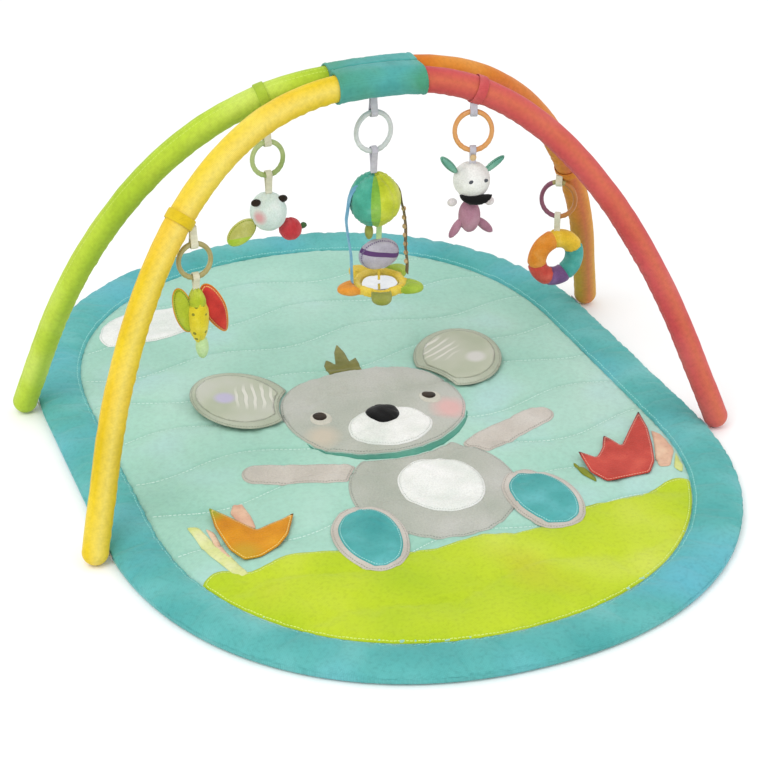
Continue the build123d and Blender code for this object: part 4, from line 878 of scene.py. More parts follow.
# ------------------------------------------------------------------ cloth laid on the quilt
def laid(name, poly, mats, lift=0.5, thick=0.6, puff=0.0, reach=14.0, step=4.0, body="mat", node=None,
         sheet=True, base=None, grow=0.0, seed=0.0, wrinkle=0.12):
    """A cloth shape sewn on the quilt: it follows the puffs below, with a rolled, stitched edge and a light filling."""
    poly = np.asarray(poly, float)
    V, F, kind = triangulate(poly, step)
    B = resample(poly, step=step)
    d, s = edge_info(V, B)
    H = heights(V) if base is None else base(V)
    roll = np.sqrt(np.clip(1 - (1 - np.clip(d / 3.0, 0, 1)) ** 2, 0, 1))
    crown = puff * (1 - (1 - np.clip(d / reach, 0, 1)) ** 2) ** 0.75 if puff else 0 * d
    puck = np.array([nz(a / 4.5, b / 12, seed) for a, b in zip(s, d)]) * np.exp(-d / 6.0) * np.clip(d / 2, 0, 1)
    soft = np.array([nz(x / 26, y / 26, seed + 5) for x, y in V]) * np.clip(d / 10, 0, 1)
    z = H + lift + thick * roll + crown + puck * (0.35 + 0.25 * puff) + soft * (wrinkle + 0.12 * puff)
    zb = H + lift - 0.15
    nv = len(V)
    topv = np.column_stack([V, z])
    lowv = np.column_stack([V, np.minimum(zb, z - 0.15)])
    f = list(F) + [tuple(nv + i for i in t[::-1]) for t in F]
    have = set()
    for t in F:
        for a, b in zip(t, t[1:] + t[:1]):
            have.add((a, b))
    f += [(b, a, nv + a, nv + b) for (a, b) in have if (b, a) not in have]
    o = new_mesh(name, np.vstack([topv, lowv]), f, mats, attrs={"ed": np.concatenate([d, d * 0]), "es": np.concatenate([s, s])})
    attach(o, body)
    if node:
        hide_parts(*([node] if isinstance(node, str) else node))
    if sheet:
        w, l = np.ptp(poly[:, 0]) * MM, np.ptp(poly[:, 1]) * MM
        x, y = poly[:, 0], poly[:, 1]
        area = abs(np.dot(x, np.roll(y, -1)) - np.dot(y, np.roll(x, -1))) / 2 * 1e-6
        if area < 0.32 * w * l:             # a crescent: its length along the curve by its mean width
            around = float(np.linalg.norm(np.roll(poly, -1, 0) - poly, axis=1).sum()) / 2 * MM
            w, l = around, area / around * 1.25
    return o, (V, F, z)


def cut(poly, keep):
    """The points of a shape for which keep(points) holds: only for convex trimming lines."""
    return poly[keep(poly)]


GRASS_EDGE = [(-331, -296), (-290, -262), (-254, -282), (-205, -262), (-154, -275), (-95, -300),
              (-34, -317), (20, -305), (66, -323), (120, -312), (170, -297), (234, -304), (290, -285), (325, -300)]
ge = np.array(GRASS_EDGE, float)
# smooth the grass edge into waves
tt = np.concatenate([[0], np.cumsum(np.linalg.norm(np.diff(ge, axis=0), axis=1))])
dense = np.linspace(0, tt[-1], 240)
gx, gy = np.interp(dense, tt, ge[:, 0]), np.interp(dense, tt, ge[:, 1])
for _ in range(24):
    gy[1:-1] = (gy[:-2] + 2 * gy[1:-1] + gy[2:]) / 4
rim = inset(BORDER_W + 0.4, 4.0)
gline = lambda x: np.interp(x, gx, gy)
lower = rim[rim[:, 1] < gline(rim[:, 0])]
# order the rim points from the right end round the bottom to the left end
ang = np.arctan2(lower[:, 1] + 100, lower[:, 0])
ang = np.where(ang > 0.5 * pi, ang - 2 * pi, ang)
lower = lower[np.argsort(-ang)]
xl, xr = lower[:, 0].min(), lower[:, 0].max()
mid_x = np.linspace(xl + 2, xr - 2, 170)
grass_poly = np.vstack([np.column_stack([mid_x, gline(mid_x)]), lower])
grass, _ = laid("grass_cloth", grass_poly[::-1], [M["lime"]], lift=0.35, thick=0.7, step=5.5, node="grass_panel", seed=2)


def union_outline(shapes, cx, cy, n=220):
    """Star-shaped outline of overlapping shapes as seen from a centre point."""
    out = []
    for k in range(n):
        a = 2 * pi * k / n
        best = 0.0
        for sh in shapes:
            A, Bq = sh, np.roll(sh, -1, 0)
            dx, dy = cos(a), sin(a)
            ex, ey = Bq[:, 0] - A[:, 0], Bq[:, 1] - A[:, 1]
            den = dx * ey - dy * ex
            with np.errstate(divide="ignore", invalid="ignore"):
                t = ((A[:, 0] - cx) * ey - (A[:, 1] - cy) * ex) / den
                u = ((A[:, 0] - cx) * dy - (A[:, 1] - cy) * dx) / den
            okk = (np.abs(den) > 1e-12) & (t > 0) & (u >= 0) & (u <= 1)
            if okk.any():
                best = max(best, t[okk].max())
        out.append((cx + best * cos(a), cy + best * sin(a)))
    return np.array(out)


cloud_shape = union_outline([ellipse(-205, 335, 66, 46), ellipse(-246, 322, 30, 30), ellipse(-165, 350, 30, 30)], -205, 335)
laid("cloud_fleece", cloud_shape, [M["white"]], lift=0.35, thick=0.9, puff=0.8, node="cloud_patch", seed=4)


def above_grass(p, gap=1.0):
    return np.maximum(p[:, 1], gline(p[:, 0]) + gap)


def clipped(poly, outside_of=None, over_grass=False):
    """Push a shape's points out of an ellipse (cx, cy, a, b), or up to the grass edge."""
    p = np.array(poly, float)
    if outside_of is not None:
        cx, cy, a, b = outside_of
        u, v = (p[:, 0] - cx) / a, (p[:, 1] - cy) / b
        k = np.where(v > 0, np.where(u < 0, 2.5, 2.15), 2.0) if cy == 4.0 else 2.0
        r = (np.abs(u) ** k + np.abs(v) ** k) ** (1 / k)
        m = r < 1
        p[m, 0] = cx + a * u[m] / r[m]
        p[m, 1] = cy + b * v[m] / r[m]
    if over_grass:
        p[:, 1] = above_grass(p)
    # drop points that fell together
    keep = np.linalg.norm(p - np.roll(p, 1, 0), axis=1) > 0.6
    return p[keep]


def head_outline(a, b, n=220):
    """The head: an ellipse with fuller upper corners, where the ears are sewn in."""
    out = []
    for t in np.linspace(0, 2 * pi, n, endpoint=False):
        c, q = cos(t), sin(t)
        k = (2.5 if c < 0 else 2.15) if q > 0 else 2.0
        out.append((FACE_X + a * abs(c) ** (2 / k) * (1 if c >= 0 else -1), 4 + b * abs(q) ** (2 / k) * (1 if q >= 0 else -1)))
    return resample(np.array(out), n=n)


HEAD_E = (FACE_X, 4.0, 120.8, 108.8)
NECK_E = (FACE_X, 4.0, 134.0, 124.0)
BODY_E = (FACE_X, -195.0, 104.6, 108.6)
body_shape = clipped(ellipse(FACE_X, -195, 104, 108, n=160), NECK_E, True)
_, body_surface = laid("mouse_body_plush", body_shape, [M["grey"]], lift=0.35, thick=0.8, puff=1.3, reach=22, node="mouse_body",
                       sheet=False, seed=6)
tree_body = BVHTree.FromPolygons([(x, y, z) for (x, y), z in zip(body_surface[0], body_surface[2])], body_surface[1])


def on_body(P):
    out = []
    for x, y in P:
        h = tree_body.ray_cast(Vector((x, y, 60)), Vector((0, 0, -1)))
        out.append(h[0].z if h[0] is not None else height(x, y) + 1)
    return np.array(out)


def over_body(P):
    """The quilt or the body cloth, whichever is higher, eased over the step between them."""
    edge, _ = edge_info(P, body_shape)
    out = on_body(P)
    low_ = heights(P) + 1.0
    ease = np.clip(edge / 7.0, 0, 1)
    inn = inside(P, body_shape)
    rise = np.where(inn, out, low_ + (1 - ease) ** 2 * 2.4)
    return rise


for side, nm in ((-1, "left"), (1, "right")):
    arm = slot_shape(FACE_X + side * 141, -107, 146, 42, 20 * side)
    arm = clipped(clipped(arm, NECK_E), BODY_E)
    o, _ = laid("mouse_arm_" + nm, arm, [M["pinkgrey"]], lift=0.35, thick=0.9, puff=1.4, reach=14, node="mouse_arms",
                sheet=False, seed=8 + side)
    foot = ellipse(FACE_X + side * 112, -267, 44, 67, rot=4 * side, n=120)
    o, fs = laid("mouse_foot_" + nm, foot, [M["pinkgrey"]], lift=0.4, thick=0.9, puff=1.7, reach=16, node="mouse_feet",
                 sheet=False, base=over_body, seed=12 + side)
    tree = BVHTree.FromPolygons([(x, y, z) for (x, y), z in zip(fs[0], fs[2])], fs[1])

    def on_foot(P, tree=tree):
        out = []
        for x, y in P:
            h = tree.ray_cast(Vector((x, y, 60)), Vector((0, 0, -1)))
            out.append(h[0].z if h[0] is not None else height(x, y))
        return np.array(out)
    sole = ellipse(FACE_X + side * 112, -268, 35.5, 57.5, rot=4 * side, n=100)
    laid("mouse_sole_" + nm, sole, [M["soles"]], lift=0.25, thick=0.6, puff=0.5, reach=10, node="mouse_soles",
         sheet=True, base=on_foot, seed=20 + side, step=3.0)
# a dark teal crescent laid under the head's lower edge: a painted shadow that the raised head casts on the mint cloth
neck_shadow_outline = [(FACE_X + 121.6 * cos(t), 4 + 109.6 * sin(t)) for t in np.linspace(radians(205), radians(335), 90)]
neck_shadow_outline += [(FACE_X + (122.5 + 10 * sin(pi * k)) * cos(t), 4 + (110.5 + 12 * sin(pi * k)) * sin(t))
           for k, t in zip(np.linspace(0, 1, 90), np.linspace(radians(335), radians(205), 90))]
laid("mouse_neck_painted_shadow", np.array(neck_shadow_outline), [M["neck"]], lift=0.25, thick=0.3, step=3.0, sheet=True, seed=29, wrinkle=0.04)
belly = clipped(ellipse(FACE_X + 9, -195, 52, 62, n=110), NECK_E)
laid("mouse_belly_fleece", belly, [M["white"]], lift=0.3, thick=0.7, puff=1.0, reach=16, node="mouse_belly",
     sheet=False, base=on_body, seed=30)
tuft = np.array([(-14, 100), (-13, 136), (-5, 150), (3, 134), (12, 164), (23, 184), (25, 160), (23, 134), (35, 142), (32, 98)], float)
laid("mouse_tuft_cloth", clipped(resample(tuft, step=3.0), HEAD_E), [M["olive"]], lift=0.35, thick=0.8, puff=0.4, reach=7, step=2.6,
     node="mouse_tuft", seed=33)

# the raised head, with muzzle, nose and eyes
head_poly = head_outline(120, 108)
_, head_surface = laid("mouse_head_pad", head_poly, [M["face"]], lift=0.45, thick=1.2, puff=3.4, reach=34, node="mouse_head",
                       sheet=False, seed=40, step=4.0)
tree_head = BVHTree.FromPolygons([(x, y, z) for (x, y), z in zip(head_surface[0], head_surface[2])], head_surface[1])


def on_head(P):
    out = []
    for x, y in P:
        h = tree_head.ray_cast(Vector((x, y, 80)), Vector((0, 0, -1)))
        out.append(h[0].z if h[0] is not None else height(x, y) + 1)
    return np.array(out)


muzzle = ellipse(FACE_X + 1, -49, 55, 45.5, n=140)
_, muzzle_surface = laid("mouse_muzzle_pad", muzzle, [M["white"]], lift=0.3, thick=0.9, puff=2.2, reach=20, node="mouse_muzzle",
                         sheet=False, base=on_head, seed=44, step=3.2)
tree_muz = BVHTree.FromPolygons([(x, y, z) for (x, y), z in zip(muzzle_surface[0], muzzle_surface[2])], muzzle_surface[1])


def on_muzzle(P):
    out = []
    for x, y in P:
        h = tree_muz.ray_cast(Vector((x, y, 80)), Vector((0, 0, -1)))
        g = tree_head.ray_cast(Vector((x, y, 80)), Vector((0, 0, -1)))
        z = [q[0].z for q in (h, g) if q[0] is not None]
        out.append(max(z) if z else height(x, y) + 1)
    return np.array(out)


laid("mouse_nose_pad", ellipse(FACE_X + 2, -18, 22, 21.5, rot=-20, n=90), [M["black"]], lift=0.2, thick=1.0, puff=3.6, reach=17, node="mouse_nose",
     sheet=False, base=on_muzzle, seed=47, step=2.4, wrinkle=0.03)
for side, nm in ((-1, "left"), (1, "right")):
    cx = FACE_X + side * 76
    laid("mouse_eyering_" + nm, ellipse(cx, -1, 14, 17, n=64), [M["halo"]], lift=0.12, thick=0.35, node="mouse_eyes",
         sheet=False, base=on_head, seed=50, step=2.2, wrinkle=0.03)
    laid("mouse_eye_" + nm, ellipse(cx, 4, 9, 10.5, n=56), [M["eye"]], lift=0.5, thick=0.6, puff=0.7, reach=7, node="mouse_eyes",
         sheet=False, base=on_head, seed=52, step=2.0, wrinkle=0.03)


# ------------------------------------------------------------------ pillows
def pillow(name, poly, place, thick, reach, mats, step=3.0, body="mat", seed=0.0, pucker=0.10, bend=None, top_mat=0, low_mat=0,
           piping=None):
    """A closed padded form from a flat outline: crowned on both sides, seamed round its edge. place(u, v, w) maps to the model."""
    poly = np.asarray(poly, float)
    V, F, kind = triangulate(poly, step)
    B = resample(poly, step=step)
    d, s = edge_info(V, B)
    d[kind == 1] = 0
    prof = np.sqrt(np.clip(1 - (1 - np.clip(d / reach, 0, 1)) ** 2, 0, 1))
    wr = np.array([nz(a / 3.6, b / 14, seed) for a, b in zip(s, d)]) * np.exp(-d / (reach * 0.45))
    und = np.array([nz(u / 17, v / 17, seed + 9) for u, v in V])
    h = thick * prof * (1 + 2.2 * pucker * wr + 0.10 * und)
    hi = np.column_stack([V, h])
    inner = kind != 1
    remap = -np.ones(len(V), int)
    remap[inner] = len(V) + np.arange(inner.sum())
    remap[~inner] = np.nonzero(~inner)[0]
    h2 = thick * prof * (1 + 2.2 * pucker * np.roll(wr, 7) + 0.10 * und)
    lo = np.column_stack([V, -h2])[inner]
    P = np.vstack([hi, lo])
    f = list(F) + [tuple(int(remap[i]) for i in t[::-1]) for t in F]
    X = np.array([place(*p) for p in P])
    idx = [top_mat] * len(F) + [low_mat] * len(F)
    o = new_mesh(name, X, f, mats, idx, attrs={"ed": np.concatenate([d, d[inner]]), "es": np.concatenate([s, s[inner]])})
    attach(o, body)
    if piping:
        pm, rad = piping
        tube(name + "_piping", [place(u, v, 0.0) for u, v in resample(poly, step=step * 0.8)], rad, [pm], body=body, closed=True, sides=8)
    return o


def tube(name, path, radius, mats, body, closed=False, sides=10, rad_fn=None, index_fn=None):
    """A round tube along a path, in millimetres."""
    P = np.asarray([tuple(p) for p in path], float)
    n = len(P)
    if closed:
        T = np.roll(P, -1, 0) - np.roll(P, 1, 0)
    else:
        T = np.gradient(P, axis=0)
    T /= np.linalg.norm(T, axis=1)[:, None]
    ref = np.array([0, 0, 1.0]) if abs(T[0, 2]) < 0.9 else np.array([1.0, 0, 0])
    a = np.cross(T[0], ref)
    a /= np.linalg.norm(a)
    frames = []
    for i in range(n):
        a = a - T[i] * (a @ T[i])
        a /= np.linalg.norm(a)
        frames.append((a.copy(), np.cross(T[i], a)))
    if closed:
        a0, b0 = frames[0]
        a1 = frames[-1][0]
        a1 = a1 - T[0] * (a1 @ T[0])
        tw = atan2(a1 @ b0, a1 @ a0)
        frames = [(fa * cos(-tw * i / n) + fb * sin(-tw * i / n), -fa * sin(-tw * i / n) + fb * cos(-tw * i / n)) for i, (fa, fb) in enumerate(frames)]
    rows = []
    for i in range(n):
        fa, fb = frames[i]
        r = radius if rad_fn is None else rad_fn(i / n)
        rows.append([P[i] + r * (fa * cos(t) + fb * sin(t)) for t in np.linspace(0, 2 * pi, sides, endpoint=False)])
    Vv, Ff = loft(rows, wrap_rows=closed)
    idx = None
    if index_fn:
        idx = [index_fn((k // sides) / n) if k < (n if closed else n - 1) * sides else 0 for k in range(len(Ff))]
    o = new_mesh(name, Vv, Ff, mats, idx)
    outward(o)
    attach(o, body)
    return o


def settle(P, extra):
    """Highest quilt point under a shape."""
    return max(heights(P)) + extra


# ears: padded flaps, sewn to the head along their root and lifting a little at the tip
for side, nm, lining in ((-1, "left", "lining_l"), (1, "right", "lining_r")):
    ex, ey, rot = (FACE_X - 156.5, 83.0, 18.0) if side < 0 else (FACE_X + 152.0, 84.0, -18.0)
    ear = clipped(ellipse(ex, ey, 63 if side < 0 else 60, 75, rot=rot, n=150), (FACE_X, 4.0, 121.3, 109.3))
    root = np.array([FACE_X + side * 105.5, 47.5])
    tip_dir = np.array([side * 0.88, 0.47])
    base_z = settle(resample(ear, step=9), 2.4)

    def place(u, v, w, root=root, tip=tip_dir, base_z=base_z):
        t = max(0.0, ((u - root[0]) * tip[0] + (v - root[1]) * tip[1]) / 120.0)
        return (u, v, base_z + w + 5.0 * t * t)
    o = pillow(nm + "_ear_flap", ear, place, 2.3, 12.0, [M["ear"]], step=3.6, body=nm + "_ear", seed=60 + side)
    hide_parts(nm + "_ear_cover")
    lin_poly = clipped(ellipse(ex + side * 3, ey + 2, 52 if side < 0 else 49, 63, rot=rot, n=120), (FACE_X, 4.0, 127.5, 115.5))

    def place_l(u, v, w, pl=place):
        x, y, z = pl(u, v, 0)
        return (x, y, z + 2.55 + w)
    q = pillow(nm + "_ear_lining_cloth", lin_poly, place_l, 0.75, 6.0, [M[lining]], step=3.4, body=nm + "_ear", seed=64 + side, pucker=0.05)
    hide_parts(nm + "_ear_lining")


def spiked(points, step=2.5, soften=2):
    """An outline with slightly rounded corners."""
    p = resample(np.array(points, float), step=step)
    for _ in range(soften):
        p = (np.roll(p, 1, 0) + 2 * p + np.roll(p, -1, 0)) / 4
    return p


M["orange_cloth"] = fleece("orange_leaf_cloth", "#cc8204", "#dc9208", "#e8a41e", mottle=28, stitch=(2.4, 3.6, "#f0cf7a"),
                           cheeks=((-264, -146, 20, 34, "#93a324"), (-250, -246, 17, 26, "#c89a1c")))
M["red_cloth"] = fleece("red_leaf_cloth", "#b83c30", "#c9483c", "#d85c4a", mottle=30, stitch=(2.4, 3.6, "#e79a86"),
                        cheeks=((204, -192, 20, 20, "#8a2a24"), (250, -174, 20, 20, "#8a2a24"), (317, -141, 20, 26, "#8a2a24")))
M["peach"] = fabric("peach_print_cloth", "#e0ac92", "#ecc4a6", "#f2d8bc", mottle=30)
M["palelime"] = fabric("pale_lime_cloth", "#d4dd7c", "#e0e69a", "#ecefb8", mottle=30)
M["olivetip"] = fabric("olive_tip_cloth", "#6d7a1e", "#8a9428", "#a3aa40", mottle=30)
M["darkred"] = fleece("dark_red_cloth", "#7c1c1c", "#94251f", "#a8352c", mottle=40)

leaf_o = spiked([(-254, -258), (-234, -259), (-208, -246), (-190, -228), (-170, -190), (-186, -197), (-204, -201), (-222, -207), (-232, -192), (-246, -170), (-263, -147), (-267, -186), (-264, -232)])
zo = settle(resample(leaf_o, step=6), 1.7)


def on_leaf_o(u, v, w):
    t = max(0.0, (v + 258) / 108.0)
    return (u, v, zo + w + 5.5 * t * t)


o = pillow("orange_leaf_flap", leaf_o, on_leaf_o, 1.7, 8.0, [M["orange_cloth"]], step=2.8, body="orange_leaf", seed=70)
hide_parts("orange_leaf")

leaf_r = spiked([(208, -266), (198, -240), (204, -193), (220, -214), (236, -198), (250, -173), (256, -186), (261, -202), (288, -172), (317, -141), (311, -178), (298, -214), (284, -246), (266, -268)])
zr = settle(resample(leaf_r, step=6), 1.7)


def on_leaf_r(u, v, w):
    t = max(0.0, (v + 268) / 118.0)
    return (u, v, zr + w + 5.5 * t * t)


o = pillow("red_leaf_flap", leaf_r, on_leaf_r, 1.7, 8.0, [M["red_cloth"]], step=2.8, body="red_leaf", seed=74)
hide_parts("red_leaf")

# printed leaves behind both flaps
prints = [
    ("print_leaf_a", [(-297, -168), (-284, -172), (-262, -256), (-256, -282), (-270, -290), (-288, -232)], "palelime"),
    ("print_leaf_b", [(-277, -178), (-269, -190), (-268, -236), (-262, -262), (-274, -234)], "peach"),
    ("print_leaf_c", [(-237, -182), (-240, -160), (-230, -137), (-220, -141), (-218, -172), (-221, -202)], "peach"),
    ("print_leaf_d", [(317, -176), (326, -194), (323, -226), (297, -262), (284, -258), (292, -234), (305, -206)], "peach"),
    ("print_leaf_e", [(300, -266), (318, -238), (326, -226), (320, -254), (306, -278)], "palelime"),
    ("print_leaf_f", [(196, -262), (188, -236), (190, -206), (198, -222), (200, -250)], "olivetip"),
]
for k, (nm, pts, mat) in enumerate(prints):
    p = spiked(pts, soften=3)
    p = p[inside(p, inset(BORDER_W + 2, 6.0))]
    if len(p) > 10:
        laid(nm, p, [M[mat]], lift=0.62 + 0.14 * (k % 3), thick=0.35, step=3.0, sheet=True, seed=80 + k, wrinkle=0.05)

# ------------------------------------------------------------------ arch sleeves
TUBE_V = 48


def centreline(front, side, cuff_x):
    shape = FRONT if front else REAR
    pts = []
    for z in np.linspace(FOOT_Z, 380, 200):
        pts.append((side * arch_x(z, shape), arch_y(front, z), z))
    x1 = arch_x(380, shape)
    for x in np.linspace(x1, cuff_x, 160)[1:]:
        z = arch_z(x, shape)
        pts.append((side * x, arch_y(front, z), z))
    return np.array(pts)


def sleeve(name, front, side, mat, nodes, body, seed):
    """A cloth sleeve drawn over a bent foam tube, closed and rounded at the foot."""
    # the sleeve ends under the cuff, past its edge
    end = 20.0 if side < 0 else 44.0
    C = resample(centreline(front, side, end), step=3.0, closed=False)
    T = np.gradient(C, axis=0)
    T /= np.linalg.norm(T, axis=1)[:, None]
    N = np.array([0, -cos(LEAN), sin(LEAN) * (1 if front else -1)])      # normal of the leaning plane
    N /= np.linalg.norm(N)
    rows, uvs = [], []
    length = np.concatenate([[0], np.cumsum(np.linalg.norm(np.diff(C, axis=0), axis=1))])
    th = np.linspace(0, 2 * pi, TUBE_V, endpoint=False)
    # rounded foot
    t0 = T[0]
    a0 = np.cross(t0, N)
    for k in range(9):
        e = (k + 0.55) / 9 * pi / 2
        rr = 15.85 * sin(e)
        off = -15.85 * cos(e)
        crease = [1 + 0.012 * (1 - k / 9) * cos(10 * t) for t in th]
        rows.append([C[0] + t0 * off + rr * cr_ * (a0 * cos(t) + N * sin(t)) for t, cr_ in zip(th, crease)])
        uvs.append(-15.85 * cos(e) * MM)
    total = length[-1]
    for i in range(len(C)):
        a = np.cross(T[i], N)
        a /= np.linalg.norm(a)
        s = length[i]
        # a points away from or towards the arch's inside
        inward = np.array([-side * 1.0, 0, -0.35])
        sign = 1 if a @ inward > 0 else -1
        row = []
        foot_fade = min(1.0, s / 30.0)
        cuff_fade = min(1.0, max(0.0, (total - s) / 40.0))
        for t in th:
            c_in = max(0.0, sign * cos(t))
            k1 = nz(s / 8.0, t * 0.8, seed)
            k1 = k1 * 1.2 + 0.35 * sin(s / 2.3 + 2.5 * nz(s / 30, t * 0.5, seed + 3))
            k2 = nz(s / 48.0, cos(t) * 1.1 + 4, sin(t) * 1.1 + seed)
            k3 = nz(s / 15.0 + t * 0.9, cos(t), sin(t) + seed + 11)
            r = 15.65 + (0.62 * k1 * c_in ** 1.3 + 0.50 * k2 + 0.34 * k3) * foot_fade
            # lengthwise seam on the outer back side
            ds = math.atan2(sin(t - pi), cos(t - pi))
            r -= 0.55 * math.exp(-(ds / 0.07) ** 2) * foot_fade
            r += 0.30 * math.exp(-((abs(ds) - 0.17) / 0.07) ** 2) * foot_fade
            r = min(r, 16.45)
            if cuff_fade < 1:
                r = r * cuff_fade + 15.4 * (1 - cuff_fade)
            row.append(C[i] + r * (a * cos(t) + N * sin(t)))
        rows.append(row)
        uvs.append(s * MM)
    V, F = loft(rows)
    V[:, 2] = np.maximum(V[:, 2], 0.05)
    o = new_mesh(name, V, F, [mat])
    uv = o.data.uv_layers.new(name="UVMap")
    nrow = len(rows)
    for poly in o.data.polygons:
        idx = [o.data.loops[li].vertex_index for li in poly.loop_indices]
        cols = [(v % TUBE_V) if v < nrow * TUBE_V else None for v in idx]
        known = [c for c in cols if c is not None]
        wrap = max(known) - min(known) > TUBE_V / 2
        for li, v, c in zip(poly.loop_indices, idx, cols):
            if c is None:
                u, w = (sum(known) / len(known)) / TUBE_V, (uvs[0] if v == nrow * TUBE_V else uvs[-1])
            else:
                u = c / TUBE_V
                if wrap and c < TUBE_V / 2:
                    u += 1.0
                w = uvs[v // TUBE_V]
            uv.data[li].uv = (u, w)
    outward(o)
    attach(o, body)
    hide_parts(*nodes)
    return o


sleeve("yellow_sleeve_cloth", True, -1, M["yellow"], ["yellow_sleeve", "front_end_caps"], "front_arch", 101.0)
sleeve("red_sleeve_cloth", True, 1, M["red"], ["red_sleeve", "front_end_caps"], "front_arch", 131.0)
sleeve("green_sleeve_cloth", False, -1, M["green"], ["green_sleeve", "rear_end_caps"], "rear_arch", 161.0)
sleeve("orange_sleeve_cloth", False, 1, M["orange"], ["orange_sleeve", "rear_end_caps"], "rear_arch", 191.0)


# ------------------------------------------------------------------ cuff halves
def cuff(front):
    shape = FRONT if front else REAR
    s = -1 if front else 1
    xs = np.arange(CUFF_L, CUFF_R + 0.1, 2.2)
    m = 72
    outer_rows, inner_rows = [], []
    for x in xs:
        z = arch_z(x, shape)
        y = arch_y(front, z)
        gap = abs(ARCH_Y + s * 0.25 - y)          # tube centre to the parting plane
        t_end = min(x - CUFF_L, CUFF_R - x)
        hem = 0.55 * math.exp(-((t_end - 2.0) / 1.6) ** 2) - 0.5 * math.exp(-((t_end - 5.0) / 1.1) ** 2)
        ro, ri = [], []
        for j in range(m):
            a = 2 * pi * j / m
            c, q = cos(a), sin(a)                 # c = 1 points at the other arch
            R = 18.3 + hem
            if c > 1e-6:
                wall = gap / c
                lid = (18.3 + hem - 1.1 * (c ** 2)) / max(abs(q), 1e-6)
                flat = min(wall, lid)
                R = max(R if c < 0.02 else 0, flat)
                R = min(R, wall)
            fold = 0.42 * nz(x / 9.0 + 3 * s, q * 1.6, 3.0 + c) + 0.25 * nz(x / 4.0, a * 1.3, 8.0 + s)
            if c < 0.93:
                R += fold * min(1, t_end / 6.0)
            if c > 1e-6:
                R = min(R, gap / c)
            ro.append((x, y - s * c * R, z + q * R))
            r_in = min(16.35, (gap - 0.12) / c if c > 0.5 else 99, R - 0.12)
            ri.append((x, y - s * c * r_in, z + q * r_in))
        outer_rows.append(ro)
        inner_rows.append(ri)
    rows = outer_rows + inner_rows[::-1]
    V, F = loft(rows, wrap_rows=True)
    o = new_mesh("front_cuff_wrap" if front else "rear_cuff_wrap", V, F, [M["cuff"]])
    outward(o)
    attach(o, "front_arch" if front else "rear_arch")
    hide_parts("front_cuff" if front else "rear_cuff")
    return o


cuff(True)
cuff(False)

# ------------------------------------------------------------------ foot tabs
tabs_v, tabs_f = [], []
for side in (-1, 1):
    for front in (True, False):
        fy = arch_y(front, FOOT_Z)
        rows = []
        for k in range(15):
            yy = fy - 10 + 20 * k / 14
            th_ = 0.30 if 0 < k < 14 else 0.18
            ring = []
            for j in range(12):
                a = 2 * pi * j / 12
                ring.append((side * (HALF_W + 0.30) + th_ * cos(a) * (1 + 0.1 * (k % 2)), yy, 8.0 + 2.5 * max(-1, min(1, 1.3 * sin(a)))))
            rows.append(ring)
        v, f = loft(rows)
        b = len(tabs_v)
        tabs_v += [tuple(p) for p in v]
        tabs_f += [tuple(b + i for i in q) for q in f]
o = new_mesh("foot_tab_tapes", tabs_v, tabs_f, [M["webbing"]])
outward(o)
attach(o, "mat")
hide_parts("foot_tabs")


# ------------------------------------------------------------------ straps, rings and toys
def slope_at(x, shape):
    CLN = cos(LEAN)
    a = (x - 0.01, arch_z(x - 0.01, shape) / CLN)
    b = (x + 0.01, arch_z(x + 0.01, shape) / CLN)
    d = hypot(b[0] - a[0], b[1] - a[1])
    return ((b[0] - a[0]) / d, (b[1] - a[1]) / d)


def hang_point(front, ring_x):
    shape = FRONT if front else REAR
    s = -1 if front else 1
    o = np.array([0, ARCH_Y + s * FOOT_DY, 0.0])
    yd = np.array([0, -s * sin(LEAN), cos(LEAN)])
    xd = np.array([1.0, 0, 0])
    side = 1 if ring_x > 0 else -1
    lo, hi = abs(ring_x), abs(ring_x) + 30
    for _ in range(60):
        m = (lo + hi) / 2
        t = slope_at(m, shape)
        if m + t[1] * 17.0 < abs(ring_x):
            lo = m
        else:
            hi = m
    x = (lo + hi) / 2
    t = slope_at(x, shape)
    z = arch_z(x, shape) / cos(LEAN)
    p = o + xd * (side * x) + yd * z
    u = o + xd * (side * (x + t[1] * 17.0)) + yd * (z - t[0] * 17.0)
    way = xd * t[0] + yd * (side * t[1])
    return p, way / np.linalg.norm(way), u


def strip(name, path, wide, width, thick, mats, body, ridge=0.12):
    """A flat tape along a path: wide is the direction of its width. Rounded edges and woven ridges."""
    P = np.asarray(path, float)
    T = np.gradient(P, axis=0)
    T /= np.linalg.norm(T, axis=1)[:, None]
    W = np.asarray(wide, float)
    rows = []
    for i in range(len(P)):
        w = W - T[i] * (W @ T[i])
        w /= np.linalg.norm(w)
        nrm = np.cross(T[i], w)
        ring = []
        for j in range(20):
            a = 2 * pi * j / 20
            cx = abs(cos(a)) ** 0.35 * (1 if cos(a) >= 0 else -1)
            cy = abs(sin(a)) ** 0.7 * (1 if sin(a) >= 0 else -1)
            rr = 1 + ridge * 0.5 * cos(i * pi)
            ring.append(P[i] + w * cx * width / 2 + nrm * cy * thick / 2 * rr)
        rows.append(ring)
    V, F = loft(rows)
    o = new_mesh(name, V, F, mats)
    outward(o)
    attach(o, body)
    return o


